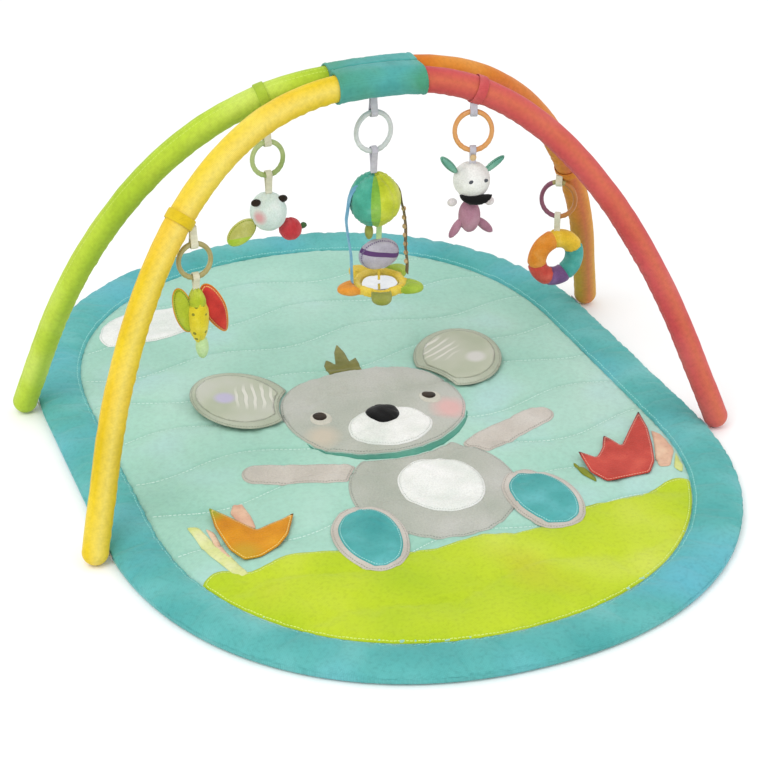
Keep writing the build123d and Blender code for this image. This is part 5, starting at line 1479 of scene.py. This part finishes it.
def eye_path(c_top, up_to, ly, rad, half=1.05, invert=False):
    """Tape path round a ring's wire: down one side, round it, and up the other."""
    s = -1 if invert else 1
    top = abs(up_to)
    pts = []
    ly = np.asarray(ly, float)
    z = np.array([0, 0, 1.0])
    for t in np.linspace(0, 1, 9):
        w = half + (rad - half) * (1 - (1 - t) ** 0.5) * 1.0
        h = top + (rad * 0.55 - top) * t
        pts.append(np.asarray(c_top) + ly * (-w if t < 1 else -rad * 0.83) + z * s * h)
    for a in np.linspace(pi - 0.6, 2 * pi + 0.6, 15):
        pts.append(np.asarray(c_top) + ly * rad * cos(a) + z * s * rad * sin(a))
    for t in np.linspace(1, 0, 9):
        w = half + (rad - half) * (1 - (1 - t) ** 0.5)
        h = top + (rad * 0.55 - top) * t
        pts.append(np.asarray(c_top) + ly * (w if t < 1 else rad * 0.83) + z * s * h)
    return resample(np.array(pts), step=1.3, closed=False)


def band_round(name, tube_p, way, mat, body):
    """A sewn tape round the sleeve."""
    way = np.asarray(way)
    a = np.cross(way, [0, 0, 1.0])
    a /= np.linalg.norm(a)
    b = np.cross(way, a)
    rows = []
    for k in range(72):
        t = 2 * pi * k / 72
        d = a * cos(t) + b * sin(t)
        ring = []
        for j in range(16):
            q = 2 * pi * j / 16
            cx = abs(cos(q)) ** 0.4 * (1 if cos(q) >= 0 else -1)
            cy = abs(sin(q)) ** 0.8 * (1 if sin(q) >= 0 else -1)
            ring.append(tube_p + way * cx * 6.3 + d * (17.15 + 0.62 * cy + 0.08 * cos(36 * t)))
        rows.append(ring)
    V, F = loft(rows, wrap_rows=True)
    o = new_mesh(name, V, F, [mat])
    outward(o)
    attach(o, body)
    return o


def ring_mesh(name, C, R, az, mats, body, split=None, ribs=22, r=3.45):
    """A plastic link ring: an oval wire with soft ribs along its lower half and a closing clip at its top."""
    lx = np.array([cos(az), sin(az), 0])
    ly = np.array([-sin(az), cos(az), 0])
    z = np.array([0, 0, 1.0])
    rows, nseg, ms = [], 120, 22
    for k in range(nseg):
        t = 2 * pi * k / nseg
        d = lx * cos(t) + z * sin(t)
        low_half = max(0.0, -sin(t)) ** 0.5
        rr = r * (0.94 + 0.06 * cos(ribs * t) * low_half)
        clip = math.exp(-((math.atan2(sin(t - 2.2), cos(t - 2.2))) / 0.13) ** 2)
        rr *= 1 + 0.04 * clip
        ring = []
        for j in range(ms):
            q = 2 * pi * j / ms
            e = d * (R + rr * cos(q))
            ring.append(C + lx * (e @ lx) * 0.90 + z * e[2] + ly * rr * sin(q))
        rows.append(ring)
    V, F = loft(rows, wrap_rows=True)
    idx = None
    if split:
        idx = [split(2 * pi * ((k // ms) + 0.5) / nseg) for k in range(len(F))]
    o = new_mesh(name, V, F, mats, idx)
    outward(o)
    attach(o, body)
    return o


def plush(name, centre, radii, mats, body, seams=(), seam_depth=0.05, index_fn=None, nu=72, nv=40, seed=0.0, shape=None, wrinkle=0.02, axis="z"):
    """A stuffed form: an egg shape with sewn seams, puckers beside them and soft lumps. axis is the pole's direction."""
    cx, cy, cz = centre
    rows = []
    for i in range(1, nv):
        ph = pi * i / nv - pi / 2
        row = []
        for j in range(nu):
            t = 2 * pi * j / nu
            x, y, z = cos(ph) * cos(t), cos(ph) * sin(t), sin(ph)
            k = 1.0
            for sm in seams:
                dd = abs(math.atan2(sin(t - sm), cos(t - sm))) * cos(ph)
                k -= seam_depth * math.exp(-(dd / 0.09) ** 2)
                k += wrinkle * 1.1 * sin(ph * 34 + 3 * nz(ph * 3, t, seed)) * math.exp(-(dd / 0.25) ** 2)
            k += wrinkle * (nz(x * 2.1 + seed, y * 2.1, z * 2.1) + 0.5 * nz(x * 5, y * 5 + seed, z * 5))
            if shape:
                k *= shape(x, y, z)
            k = min(k, 1.045)
            p = (x * radii[0] * k, y * radii[1] * k, z * radii[2] * k)
            if axis == "y":
                p = (x * radii[0] * k, z * radii[1] * k, -y * radii[2] * k)
            row.append((cx + p[0], cy + p[1], cz + p[2]))
        rows.append(row)
    V, F = loft(rows)
    # the two end points sit at the poles
    nr = len(rows)
    V = np.array(V)
    for which, ph in ((nr * nu, -pi / 2), (nr * nu + 1, pi / 2)):
        z = sin(ph) * 0.985
        V[which] = (cx, cy, cz + z * radii[2]) if axis == "z" else (cx, cy + z * radii[1], cz)
    idx = None
    if index_fn:
        idx = []
        for f in F:
            p = np.mean([V[i] for i in f], axis=0)
            idx.append(index_fn((p[0] - cx) / radii[0], (p[1] - cy) / radii[1], (p[2] - cz) / radii[2]))
    o = new_mesh(name, V, F, mats, idx)
    outward(o)
    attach(o, body)
    return o


WIRE, GAPW = 3.6, 0.6
R_EYE = WIRE + GAPW + 1.15
TOYS = {
    "butterfly": dict(front=True, X=-237.0, Z=302.0, R=21.5, az=0.0),
    "chick": dict(front=False, X=-115.0, Z=374.0, R=21.5, az=0.0),
    "centre": dict(front=None, X=14.0, Z=396.0, R=25.0, az=0.0),
    "puppy": dict(front=True, X=128.0, Z=394.0, R=25.0, az=radians(-20.0)),
    "donut": dict(front=False, X=308.0, Z=223.0, R=25.0, az=radians(-32.0)),
}
for nm, t in TOYS.items():
    if t["front"] is None:
        t["Y"] = ARCH_Y + 8.5
        t["under"] = np.array([t["X"], t["Y"], ARCH_H - 18.6 - 0.6 - 4])
        t["tube"] = None
    else:
        p, way, un = hang_point(t["front"], t["X"])
        t["tube"], t["way"], t["under"] = p, way, un
        t["Y"] = un[1] - (9.0 if nm == "donut" else 0.0)
    t["C"] = np.array([t["X"], t["Y"], t["Z"]])
    t["lx"] = np.array([cos(t["az"]), sin(t["az"]), 0])
    t["ly"] = np.array([-sin(t["az"]), cos(t["az"]), 0])

P_ = plastic
M["ring_olive"] = P_("ring_olive_plastic", "#8f8650", "#a89c62", "#bcb37e")
M["ring_sage"] = P_("ring_sage_plastic", "#8fa55a", "#a8bb72", "#c4d29a")
M["ring_grey"] = P_("ring_grey_plastic", "#bfc6c4", "#d0d6d4", "#e2e6e5")
M["ring_tan"] = P_("ring_tan_plastic", "#cf8a4a", "#dd9c58", "#e8b47c")
M["ring_purple"] = P_("ring_purple_plastic", "#6d3550", "#84465f", "#9a6276")
M["ring_brown"] = P_("ring_brown_plastic", "#9a5a22", "#b9732f", "#cc8c4a")
M["bead_tan"] = P_("bead_tan_plastic", "#c09a62", "#d0ae7a", "#dfc498")

sleeve_of = {"butterfly": "yellow", "chick": "green", "puppy": "red", "donut": "orange"}
band_mats = {
    "butterfly": fabric("yellow_tape", "#dcbc14", "#e9cb28", "#f1da55", pitch=0.0012, mottle=30),
    "chick": fabric("green_tape", "#9ab82c", "#adc83c", "#c2d862", pitch=0.0012, mottle=30),
    "puppy": fabric("red_tape", "#c44648", "#cf5557", "#d8706c", pitch=0.0012, mottle=30),
    "donut": fabric("orange_tape", "#d5751e", "#e08b2a", "#e8a552", pitch=0.0012, mottle=30),
}
for nm, t in TOYS.items():
    body = "front_arch" if t["front"] else "rear_arch"
    top = t["C"] + np.array([0, 0, t["R"]])
    hi = t["under"][2] + (0.6 if t["tube"] is not None else 3.6) - top[2]
    tape = M["webbing"] if nm in ("centre", "puppy") else M["cream_tape"]
    o = strip(nm + "_hanging_tape", eye_path(top, hi, t["ly"], R_EYE), t["lx"], 8.8, 1.7, [tape], body)
    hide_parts("front_toy_loops" if t["front"] else "rear_toy_loops")
    if t["tube"] is not None:
        o = band_round(nm + "_tube_band", t["tube"], t["way"], band_mats[nm], body)
        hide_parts("front_toy_loops" if t["front"] else "rear_toy_loops")

ring_mesh("butterfly_link", TOYS["butterfly"]["C"], 21.5, 0.0, [M["ring_olive"]], "butterfly_ring")
ring_mesh("chick_link", TOYS["chick"]["C"], 21.5, 0.0, [M["ring_sage"]], "chick_ring")
ring_mesh("centre_link", TOYS["centre"]["C"], 25.0, 0.0, [M["ring_grey"]], "centre_ring")
ring_mesh("puppy_link", TOYS["puppy"]["C"], 25.0, TOYS["puppy"]["az"], [M["ring_tan"]], "puppy_ring")
ring_mesh("donut_link", TOYS["donut"]["C"], 25.0, TOYS["donut"]["az"], [M["ring_purple"], M["ring_brown"], M["ring_olive"]], "donut_ring",
          split=lambda a: (2 if abs(a - pi / 2) < 0.35 else (0 if cos(a) < 0 else 1)))
for nm, sl in (("butterfly", "ring_olive"), ("chick", "ring_olive"), ("centre", "ring_grey"), ("puppy", "ring_tan"), ("donut", "ring_purple")):
    o = bpy.data.objects[nm + "_link"]
    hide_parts(nm + "_ring")


def toy_tape(nm, down_to, mat, width=7.8):
    t = TOYS[nm]
    low = t["C"] - np.array([0, 0, t["R"]])
    return strip(nm + "_toy_tape", eye_path(low, low[2] - down_to, t["ly"], R_EYE, invert=True), t["lx"], width, 1.6, [mat], nm + "_toy")


def flat_place(y, cx=0.0, cz=0.0):
    """Outline in X and Z, thickness along -Y."""
    return lambda u, v, w: (u + cx, y - w, v + cz)


# --- butterfly
by = TOYS["butterfly"]["Y"]
M["bf_yellow"] = fleece("butterfly_yellow_plush", "#d9c51e", "#e8d634", "#f1e25e", mottle=45, spots=("#8c8a2a", 90.0, 0.22))
M["bf_tail"] = fleece("butterfly_tail_plush", "#a9cf86", "#bfe0a0", "#d2ecb8", mottle=45)
M["bf_wing_l"] = fleece("butterfly_green_plush", "#a9bb24", "#bccb38", "#cfd95c", mottle=45, stitch=(1.8, 3.0, "#7f8f1a"))
M["bf_wing_r"] = fleece("butterfly_red_plush", "#9c1f22", "#cf3a32", "#e2543f", mottle=30, stitch=(1.8, 3.0, "#f2c26a"))
M["piping_orange"] = fabric("orange_piping", "#d98a1e", "#e9a030", "#f3b95a", mottle=50, pitch=0.0009)
M["dark_green"] = fleece("dark_green_plush", "#2c4a2a", "#3a5c34", "#4a6e42", mottle=60)
o = plush("butterfly_body_plush", (-237.0, by, 231.0), (13.1, 13.1, 36.3), [M["bf_yellow"], M["bf_wing_l"]], "butterfly_toy", seams=(0.0, pi, pi / 2, -pi / 2),
          index_fn=lambda x, y, z: 1 if z > 0.45 else 0, seed=3.0, shape=lambda x, y, z: 1 - 0.10 * math.exp(-((z - 0.42) / 0.12) ** 2))
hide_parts("butterfly_body")
o = plush("butterfly_tail_plush", (-234.0, by, 188.0), (7.8, 7.8, 15.6), [M["bf_tail"]], "butterfly_toy", seams=(0.0, pi), nu=40, nv=24, seed=5.0)
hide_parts("butterfly_body")
toy_tape("butterfly", 264.0, M["cream_tape"])
# wings
lw = ellipse(-254, 240, 11.0, 30.0, rot=12, n=90)
o = pillow("butterfly_left_wing", lw, flat_place(by), 4.2, 8.0, [M["bf_wing_l"]], step=2.0, body="butterfly_toy", seed=7, piping=(M["piping_orange"], 0.8))
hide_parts("butterfly_wings")
rw = ellipse(0, 0, 13.0, 35.0, rot=0, n=90)
rw[:, 0] *= 1 - 0.35 * np.clip(-rw[:, 1] / 35.0, 0, 1) ** 1.5
rr_ = radians(20)
rw = np.stack([-216 + rw[:, 0] * cos(rr_) - rw[:, 1] * sin(rr_), 236 + rw[:, 0] * sin(rr_) + rw[:, 1] * cos(rr_)], 1)
o = pillow("butterfly_right_wing", rw, flat_place(by), 4.2, 8.0, [M["bf_wing_r"]], step=2.0, body="butterfly_toy", seed=9, piping=(M["piping_orange"], 0.8))
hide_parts("butterfly_wings")

# --- chick
cy_ = TOYS["chick"]["Y"]
M["ck_white"] = fleece("chick_white_plush", "#cfe2dc", "#dfeeea", "#f2f7f5", mottle=45,
                       cheeks=((-132.0, cy_ - 14, 305.0, 11.0, "#e2a9ae"),))
M["ck_leaf"] = fleece("chick_leaf_plush", "#b7bb5a", "#c9c86e", "#d8d890", mottle=50, stitch=(1.8, 3.0, "#8fa02a"))
M["ck_lime"] = fleece("chick_lime_plush", "#9cc02a", "#b4d43c", "#c9e060", mottle=50)
M["ck_ball"] = fleece("chick_red_plush", "#b92f36", "#cc4148", "#dc5e60", mottle=50)
o = plush("chick_head_plush", (-116.5, cy_, 305.0), (22.5, 22.5, 24.5), [M["ck_white"]], "chick_toy", seams=(0.0, pi, pi / 2), seed=13.0)
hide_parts("chick_head")
for k, ex in enumerate((-134.5, -100.5)):
    o = plush("chick_eye_%d" % k, (ex, cy_ - 8.5, 322.5), (6.2, 4.2, 4.6), [M["eye"]], "chick_toy", nu=36, nv=20, seed=2.0, wrinkle=0.01, seams=(0.0, pi))
toy_tape("chick", 327.0, M["cream_tape"])
lf = ellipse(-151.5, 282.5, 21.5, 14.5, rot=38, n=80)
o = pillow("chick_leaf_pad", lf, flat_place(cy_), 3.3, 8.0, [M["ck_leaf"], M["ck_lime"]], step=2.0, body="chick_toy", seed=15)
for p in o.data.polygons:
    if p.center.z < 0.2765:
        p.material_index = 1
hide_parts("chick_leaf")
o = plush("chick_ball_plush", (-89.0, cy_, 276.5), (14.2, 14.2, 14.2), [M["ck_ball"]], "chick_toy", seams=(0.0, pi, pi / 2, -pi / 2), nu=56, nv=32, seed=17.0)
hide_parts("chick_ball")
nib = [(-78, 279), (-74, 284), (-69, 282), (-67, 277), (-72, 274), (-78, 275)]
o = pillow("chick_ball_nib", spiked(nib, step=1.5), flat_place(cy_ - 1.0), 1.6, 3.0, [M["dark_green"]], step=1.5, body="chick_toy", seed=19)

# --- middle toy: dome, ribbons, pad and flower mirror
my = TOYS["centre"]["Y"]
M["dome_teal"] = fleece("dome_teal_plush", "#3f9a86", "#4fae98", "#6cc0ac", mottle=40)
M["dome_lime"] = fleece("dome_lime_plush", "#b3c028", "#c8d23a", "#d8de62", mottle=40)
M["dome_green"] = fleece("dome_green_plush", "#74a83a", "#88bb4a", "#a0ca68", mottle=40)
M["pad_lilac"] = fleece("pad_lilac_plush", "#aaa4b4", "#bbb6c4", "#cbc7d2", mottle=40, stitch=(2.0, 3.0, "#7a6a8a"),
                        band=(20.0, 234.0, 0.25, 3.0, "#5f3f72"))
M["pad_purple"] = fleece("pad_purple_plush", "#4c2f5e", "#5f3f72", "#74548a", mottle=50)
M["rib_blue"] = fabric("blue_ribbon", "#5f9fc4", "#74b2d2", "#93c6df", pitch=0.0009, mottle=60)
M["rib_brown"] = fabric("brown_ribbon", "#6e5a3a", "#836d48", "#98825c", pitch=0.0009, mottle=60)
M["frame_yellow"] = fleece("mirror_yellow_plush", "#e4c23a", "#efd150", "#f5de7a", mottle=40, stitch=(2.0, 3.2, "#fff3c0"))
M["frame_orange"] = fleece("mirror_orange_plush", "#e08a28", "#ec9c3a", "#f3b462", mottle=40, stitch=(2.0, 3.2, "#ffe2b0"))
M["frame_green"] = fleece("mirror_green_plush", "#98b436", "#abc648", "#c0d66a", mottle=40, stitch=(2.0, 3.2, "#e4f0b0"))
M["frame_olive"] = fleece("mirror_olive_plush", "#7c8434", "#919842", "#a6ac5c", mottle=40, stitch=(2.0, 3.2, "#d4d8a0"))


def dome_index(x, y, z):
    a = math.degrees(atan2(y, x))
    if a < -120 or a > 60:
        return 0
    if a < -97.5:
        return 2
    return 1


o = plush("centre_dome_plush", (15.0, my, 306.0), (32.3, 32.3, 35.3), [M["dome_teal"], M["dome_lime"], M["dome_green"]], "centre_toy",
          seams=tuple(k * pi / 3 for k in range(6)), index_fn=dome_index, nu=96, nv=52, seed=23.0,
          shape=lambda x, y, z: 1.0 - 0.04 * (z < -0.55))
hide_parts("centre_dome")
toy_tape("centre", 342.0, M["webbing"])
pp = ellipse(20, 231, 27.0, 21.0, n=110)
o = pillow("centre_pad_plush", pp, flat_place(my), 10.6, 16.0, [M["pad_lilac"]], step=2.2, body="centre_toy", seed=27, pucker=0.06)
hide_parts("centre_pad")
for k, (a, b) in enumerate((((21.0, my, 275.0), (20.0, my, 249.0)), ((20.0, my, 213.0), (20.0, my, 194.5)))):
    path = np.linspace(a, b, 20)
    o = strip("centre_strap_%d" % k, path, (1, 0, 0), 3.2 if k else 7.4, 1.4, [M["frame_yellow"] if k else M["bf_tail"]], "centre_toy")
for k, (xt, xl_, mt_) in enumerate(((-22.5, -16.0, "rib_blue"), (53.5, 58.0, "rib_brown"))):
    way = 1 if k else -1
    over = [(15.0 + way * r, z) for r, z in ((19.0, 330.0), (25.5, 326.5), (30.2, 320.0), (33.2, 313.0), (34.4, 305.0))]
    down = [(15.0 + way * 35.6, 296.0), (xt + way * 0.4, 284.0), (xt * 0.6 + xl_ * 0.4 + way, 262.0), (xt * 0.35 + xl_ * 0.65 - way, 236.0), (xl_ + way * 0.6, 212.0), (xl_, 196.8)]
    path = resample(np.array([(x, my, z) for x, z in over + down]), n=60, closed=False)
    for _ in range(3):
        path[1:-1] = (path[:-2] + 2 * path[1:-1] + path[2:]) / 4
    path[:, 1] += 0.7 * np.sin(np.linspace(0, 7, len(path)))
    o = strip("centre_ribbon_%d" % k, path, (0, 1, 0), 9.6, 1.0, [M[mt_]], "centre_toy", ridge=0.2)
    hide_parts("centre_ribbons")
for k in range(7):
    z = 287 - 12.2 * k
    x = 53.6 + (58.0 - 53.6) * (287 - z) / 90.0
    o = plush("centre_bead_%d" % k, (x, my, z), (3.0, 3.4, 3.4), [M["bead_tan"]], "centre_toy", nu=24, nv=14, seed=k + 0.5, wrinkle=0.004,
              shape=lambda x, y, z: 1 - 0.05 * (abs(z) > 0.85))


def radial_outline(fn, cx, cy, n=260):
    return np.array([(cx + fn(a) * cos(a), cy + fn(a) * sin(a)) for a in np.linspace(0, 2 * pi, n, endpoint=False)])


def mirror_frame_mesh():
    """A padded flower: a rolled ring round the mirror with five stuffed petals."""
    cx, cy = 21.0, my
    sh = [ellipse(cx, cy, 33, 33)]
    for k in range(5):
        a = pi + 2 * pi / 5 * k
        sh.append(ellipse(cx + 38 * cos(a), cy + 38 * sin(a), 19, 13, rot=math.degrees(a)))
    out = union_outline(sh, cx, cy, n=260)
    rad = np.hypot(out[:, 0] - cx, out[:, 1] - cy)
    rad = (np.roll(rad, 1) + 2 * rad + np.roll(rad, -1)) / 4
    rows = []
    n = len(rad)
    for i in range(n):
        a = 2 * pi * i / n
        row = []
        outer, inner = rad[i] - 0.3, 24.5
        m = 44
        for j in range(m):
            q = 2 * pi * j / m
            u = 0.5 + 0.5 * cos(q)                       # 0 inner, 1 outer
            r = inner + (outer - inner) * u
            # crowned rim, a sewn valley between rim and petal, and a crowned petal
            w = abs(sin(q)) ** 0.75
            h = 6.2 * w
            val = math.exp(-((r - 34.0) / 1.7) ** 2)
            if outer > 38:
                h *= 1 - 0.42 * val
            pk = nz(cos(a) * 14, sin(a) * 14, u * 2.0)
            h *= 1 + 0.10 * pk
            z = 189.5 + (h if sin(q) >= 0 else -h)
            row.append((cx + r * cos(a), cy + r * sin(a), z))
        rows.append(row)
    V, F = loft(rows, wrap_rows=True)
    idx = []
    for f in F:
        p = np.mean([V[i] for i in f], axis=0)
        a = atan2(p[1] - cy, p[0] - cx)
        r = hypot(p[0] - cx, p[1] - cy)
        if r < 34.0:
            idx.append(0)
        else:
            k = int(round((a - pi) / (2 * pi / 5))) % 5
            idx.append([1, 3, 2, 2, 0][k])
    o = new_mesh("mirror_flower_frame", V, F, [M["frame_yellow"], M["frame_orange"], M["frame_green"], M["frame_olive"]], idx)
    outward(o)
    return o


o = mirror_frame_mesh()
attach(o, "centre_toy")
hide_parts("mirror_frame")
rows = []
for k, (r, z) in enumerate([(2.0, 191.6), (6, 191.6), (10, 191.55), (14, 191.5), (18, 191.4), (21, 191.2), (23.2, 190.8), (24.0, 190.0),
                            (23.4, 189.0), (20, 188.7), (12, 188.6), (3, 188.6)]):
    rows.append([(21.0 + r * cos(t), my + r * sin(t), z + (0.16 * nz(r / 7, t * 1.1, 2.0) if k < 6 else 0)) for t in np.linspace(0, 2 * pi, 72, endpoint=False)])
V, F = loft(rows)
o = new_mesh("mirror_foil_disc", V, F, [M["mirror"]])
outward(o)
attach(o, "centre_toy")
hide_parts("mirror_disc")

o = plush("centre_clapper_plush", (5.5, my - 4.0, 266.0), (5.4, 5.4, 10.5), [M["frame_olive"]], "centre_toy", nu=40, nv=24, seed=29.0, seams=(0.0, pi))

# --- puppy
py = TOYS["puppy"]["Y"]
M["pp_white"] = fleece("puppy_white_plush", "#dcdcd8", "#ecece8", "#fafaf8", mottle=45)
M["pp_mauve"] = fleece("puppy_mauve_plush", "#9c6a80", "#b07f92", "#c49aaa", mottle=45)
M["pp_ear"] = fleece("puppy_ear_plush", "#5fa08c", "#78b29c", "#9cc8b4", mottle=45, stitch=(1.4, 2.6, "#3f7a66"))
M["pp_eye"] = fleece("puppy_eye_cloth", "#4a4c52", "#5c5e66", "#72747c", mottle=60, bump=0.2)
M["pp_hand"] = fleece("puppy_hand_plush", "#d8d0d0", "#e6dfdf", "#f2eeee", mottle=45)
o = plush("puppy_head_plush", (127.0, py, 330.0), (23.0, 22.6, 22.8), [M["pp_white"]], "puppy_toy", seams=(0.0, pi, pi / 2), seed=33.0)
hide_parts("puppy_head")
toy_tape("puppy", 347.0, M["webbing"])
for k, (ex, ez, rot, nm) in enumerate(((96.5, 354.5, 42, "left"), (156.5, 346.0, -58, "right"))):
    e = ellipse(ex, ez, 5.2, 16.5, rot=rot, n=70)
    o = pillow("puppy_ear_" + nm, e, flat_place(py), 3.6, 5.0, [M["pp_ear"], M["pp_white"]], step=1.8, body="puppy_toy", seed=36 + k)
for k, (ex, ez) in enumerate(((118.0, 336.0), (137.0, 335.0))):
    yy = py - sqrt(max(1.0, 22.6 ** 2 - (ex - 127) ** 2 - (ez - 330) ** 2)) - 0.1
    o = plush("puppy_eye_%d" % k, (ex, yy, ez), (3.4, 1.3, 2.4), [M["pp_eye"]], "puppy_toy", nu=24, nv=14, seed=k + 4.0, wrinkle=0.01)
half = [(20.0 * cos(a), 14.0 * sin(a)) for a in np.linspace(pi, 2 * pi, 60)] + [(x, -0.2) for x in np.linspace(19, -19, 26)]
half = np.array(half) + np.array([126.0, 317.0])


def muzzle_place(u, v, w):
    """Turned with the toy, so the muzzle's flat top is level as the camera sees it."""
    a = radians(-20)
    return (126.0 + (u - 126.0) * cos(a) + w * sin(a), py - 16.0 + (u - 126.0) * sin(a) - w * cos(a), v)


o = pillow("puppy_muzzle_pad", half, muzzle_place, 8.0, 7.0, [M["black"]], step=2.0, body="puppy_toy", seed=39, pucker=0.04)
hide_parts("puppy_muzzle")
o = plush("puppy_body_plush", (125.0, py, 282.0), (13.7, 13.7, 21.5), [M["pp_mauve"]], "puppy_toy", seams=(0.0, pi, pi / 2), seed=41.0, nu=56, nv=30)
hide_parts("puppy_body")
for k, (ex, ez, rot, a, b) in enumerate(((107.0, 268.0, -35, 5.8, 14.6), (145.0, 266.0, 45, 5.8, 16.6))):
    e = ellipse(ex, ez, a, b, rot=rot, n=70)
    o = pillow("puppy_leg_%d" % k, e, flat_place(py), 4.7, 5.4, [M["pp_mauve"]], step=1.8, body="puppy_toy", seed=44 + k)
    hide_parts("puppy_body")
for k, (ex, ez) in enumerate(((101.5, 304.0), (152.0, 297.0))):
    o = plush("puppy_hand_%d" % k, (ex, py, ez), (6.2, 4.6, 5.2), [M["pp_hand"]], "puppy_toy", nu=36, nv=20, seed=k + 9.0, seams=(0.0, pi))
t = TOYS["puppy"]
o = plush("puppy_bead", tuple(t["C"] + np.array([0, 0, -t["R"] - 7.0]) - t["ly"] * 7.4), (4.2, 2.6, 4.2), [M["bead_tan"]], "puppy_toy", nu=30, nv=18, seed=3.3, wrinkle=0.004)

# --- donut
dx, dy_, dz = 308.0, TOYS["donut"]["Y"], 137.0
dm = [fleece("donut_orange_plush", "#df8020", "#ea9430", "#f2ac58", mottle=45), fleece("donut_yellow_plush", "#e2b624", "#efc73a", "#f6d866", mottle=45),
      fleece("donut_teal_plush", "#3c9a92", "#50aea6", "#70c2ba", mottle=45), fleece("donut_purple_plush", "#6c4a7c", "#805c90", "#987aa6", mottle=45),
      fleece("donut_red_plush", "#c03c34", "#d04c40", "#de6a5a", mottle=45)]


def donut_sector(a):
    d = math.degrees(a) % 360
    if 100 <= d < 190:
        return 0
    if 25 <= d < 100:
        return 1
    if d >= 300 or d < 25:
        return 2
    if 250 <= d < 300:
        return 3
    return 4


rows, nseg, ms = [], 150, 36
cuts = [radians(x) for x in (100, 190, 250, 300, 25)]
for k in range(nseg):
    a = 2 * pi * k / nseg
    groove = max(math.exp(-((math.atan2(sin(a - c), cos(a - c))) / 0.055) ** 2) for c in cuts)
    near = max(math.exp(-((math.atan2(sin(a - c), cos(a - c))) / 0.2) ** 2) for c in cuts)
    ring = []
    for j in range(ms):
        q = 2 * pi * j / ms
        rr = 12.6 * (1 - 0.13 * groove + 0.03 * near * sin(9 * q) + 0.03 * nz(cos(a) * 2 + cos(q), sin(a) * 2, sin(q) + 3))
        # inner and outer edge seams
        rr -= 0.7 * math.exp(-(math.atan2(sin(q), cos(q)) / 0.10) ** 2)
        ring.append((dx + (28.0 + rr * cos(q)) * cos(a), dy_ - rr * sin(q), dz + (28.0 + rr * cos(q)) * sin(a)))
    rows.append(ring)
V, F = loft(rows, wrap_rows=True)
idx = [donut_sector(2 * pi * ((k // ms) + 0.5) / nseg) for k in range(len(F))]
o = new_mesh("donut_plush", V, F, dm, idx)
outward(o)
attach(o, "donut_toy")
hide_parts("donut_toy")
toy_tape("donut", 175.5, M["cream_tape"])

# ------------------------------------------------------------------ carried-over nodes
for nm in ("front_foam", "rear_foam"):
    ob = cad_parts[nm]
    ob.data.materials.clear()
    ob.data.materials.append(M["foam"])
for nm in ("front_pole_left", "front_pole_right", "rear_pole_left", "rear_pole_right"):
    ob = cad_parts[nm]
    ob.data.materials.clear()
    ob.data.materials.append(M["pole"])
for nm in ("front_ferrule", "rear_ferrule"):
    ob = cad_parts[nm]
    ob.data.materials.clear()
    ob.data.materials.append(M["metal"])

# ------------------------------------------------------------------ floor and light
fm = Nodes("studio_floor")
fcol = fm.ramp(fm.noise(1.2, detail=2.0), [(0.3, (0.97, 0.97, 0.97)), (0.7, (0.99, 0.99, 0.99))])
fm.finish(fcol, fm.noise(300.0), bump=0.02, sheen=0.0, rough=(0.75, 0.9))
floor = new_mesh("studio_floor", [(-9000, -9000, -0.4), (9000, -9000, -0.4), (9000, 9000, -0.4), (-9000, 9000, -0.4)], [(0, 1, 2, 3)], [fm.mat])
floor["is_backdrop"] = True

world = bpy.data.worlds.new("studio_light")
scene.world = world
world.use_nodes = True
bg = world.node_tree.nodes["Background"]
bg.inputs["Color"].default_value = (1.0, 1.0, 1.0, 1)
bg.inputs["Strength"].default_value = 0.97


def area(name, loc, look, size, watts, colour=(1, 1, 1)):
    d = bpy.data.lights.new(name, "AREA")
    d.shape = "SQUARE"
    d.size = size
    d.energy = watts
    d.color = colour
    o = bpy.data.objects.new(name, d)
    scene.collection.objects.link(o)
    o.location = loc
    o.rotation_euler = (Vector(look) - Vector(loc)).to_track_quat("-Z", "Y").to_euler()
    return o


area("key_light", (-1.6, -1.2, 2.6), (0, 0, 0.1), 1.6, 27)
area("fill_light", (2.2, -1.8, 2.0), (0, 0, 0.1), 2.2, 7)
scene.view_settings.view_transform = "Standard"

print("SIM", SIM_SECONDS)
lo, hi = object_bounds()
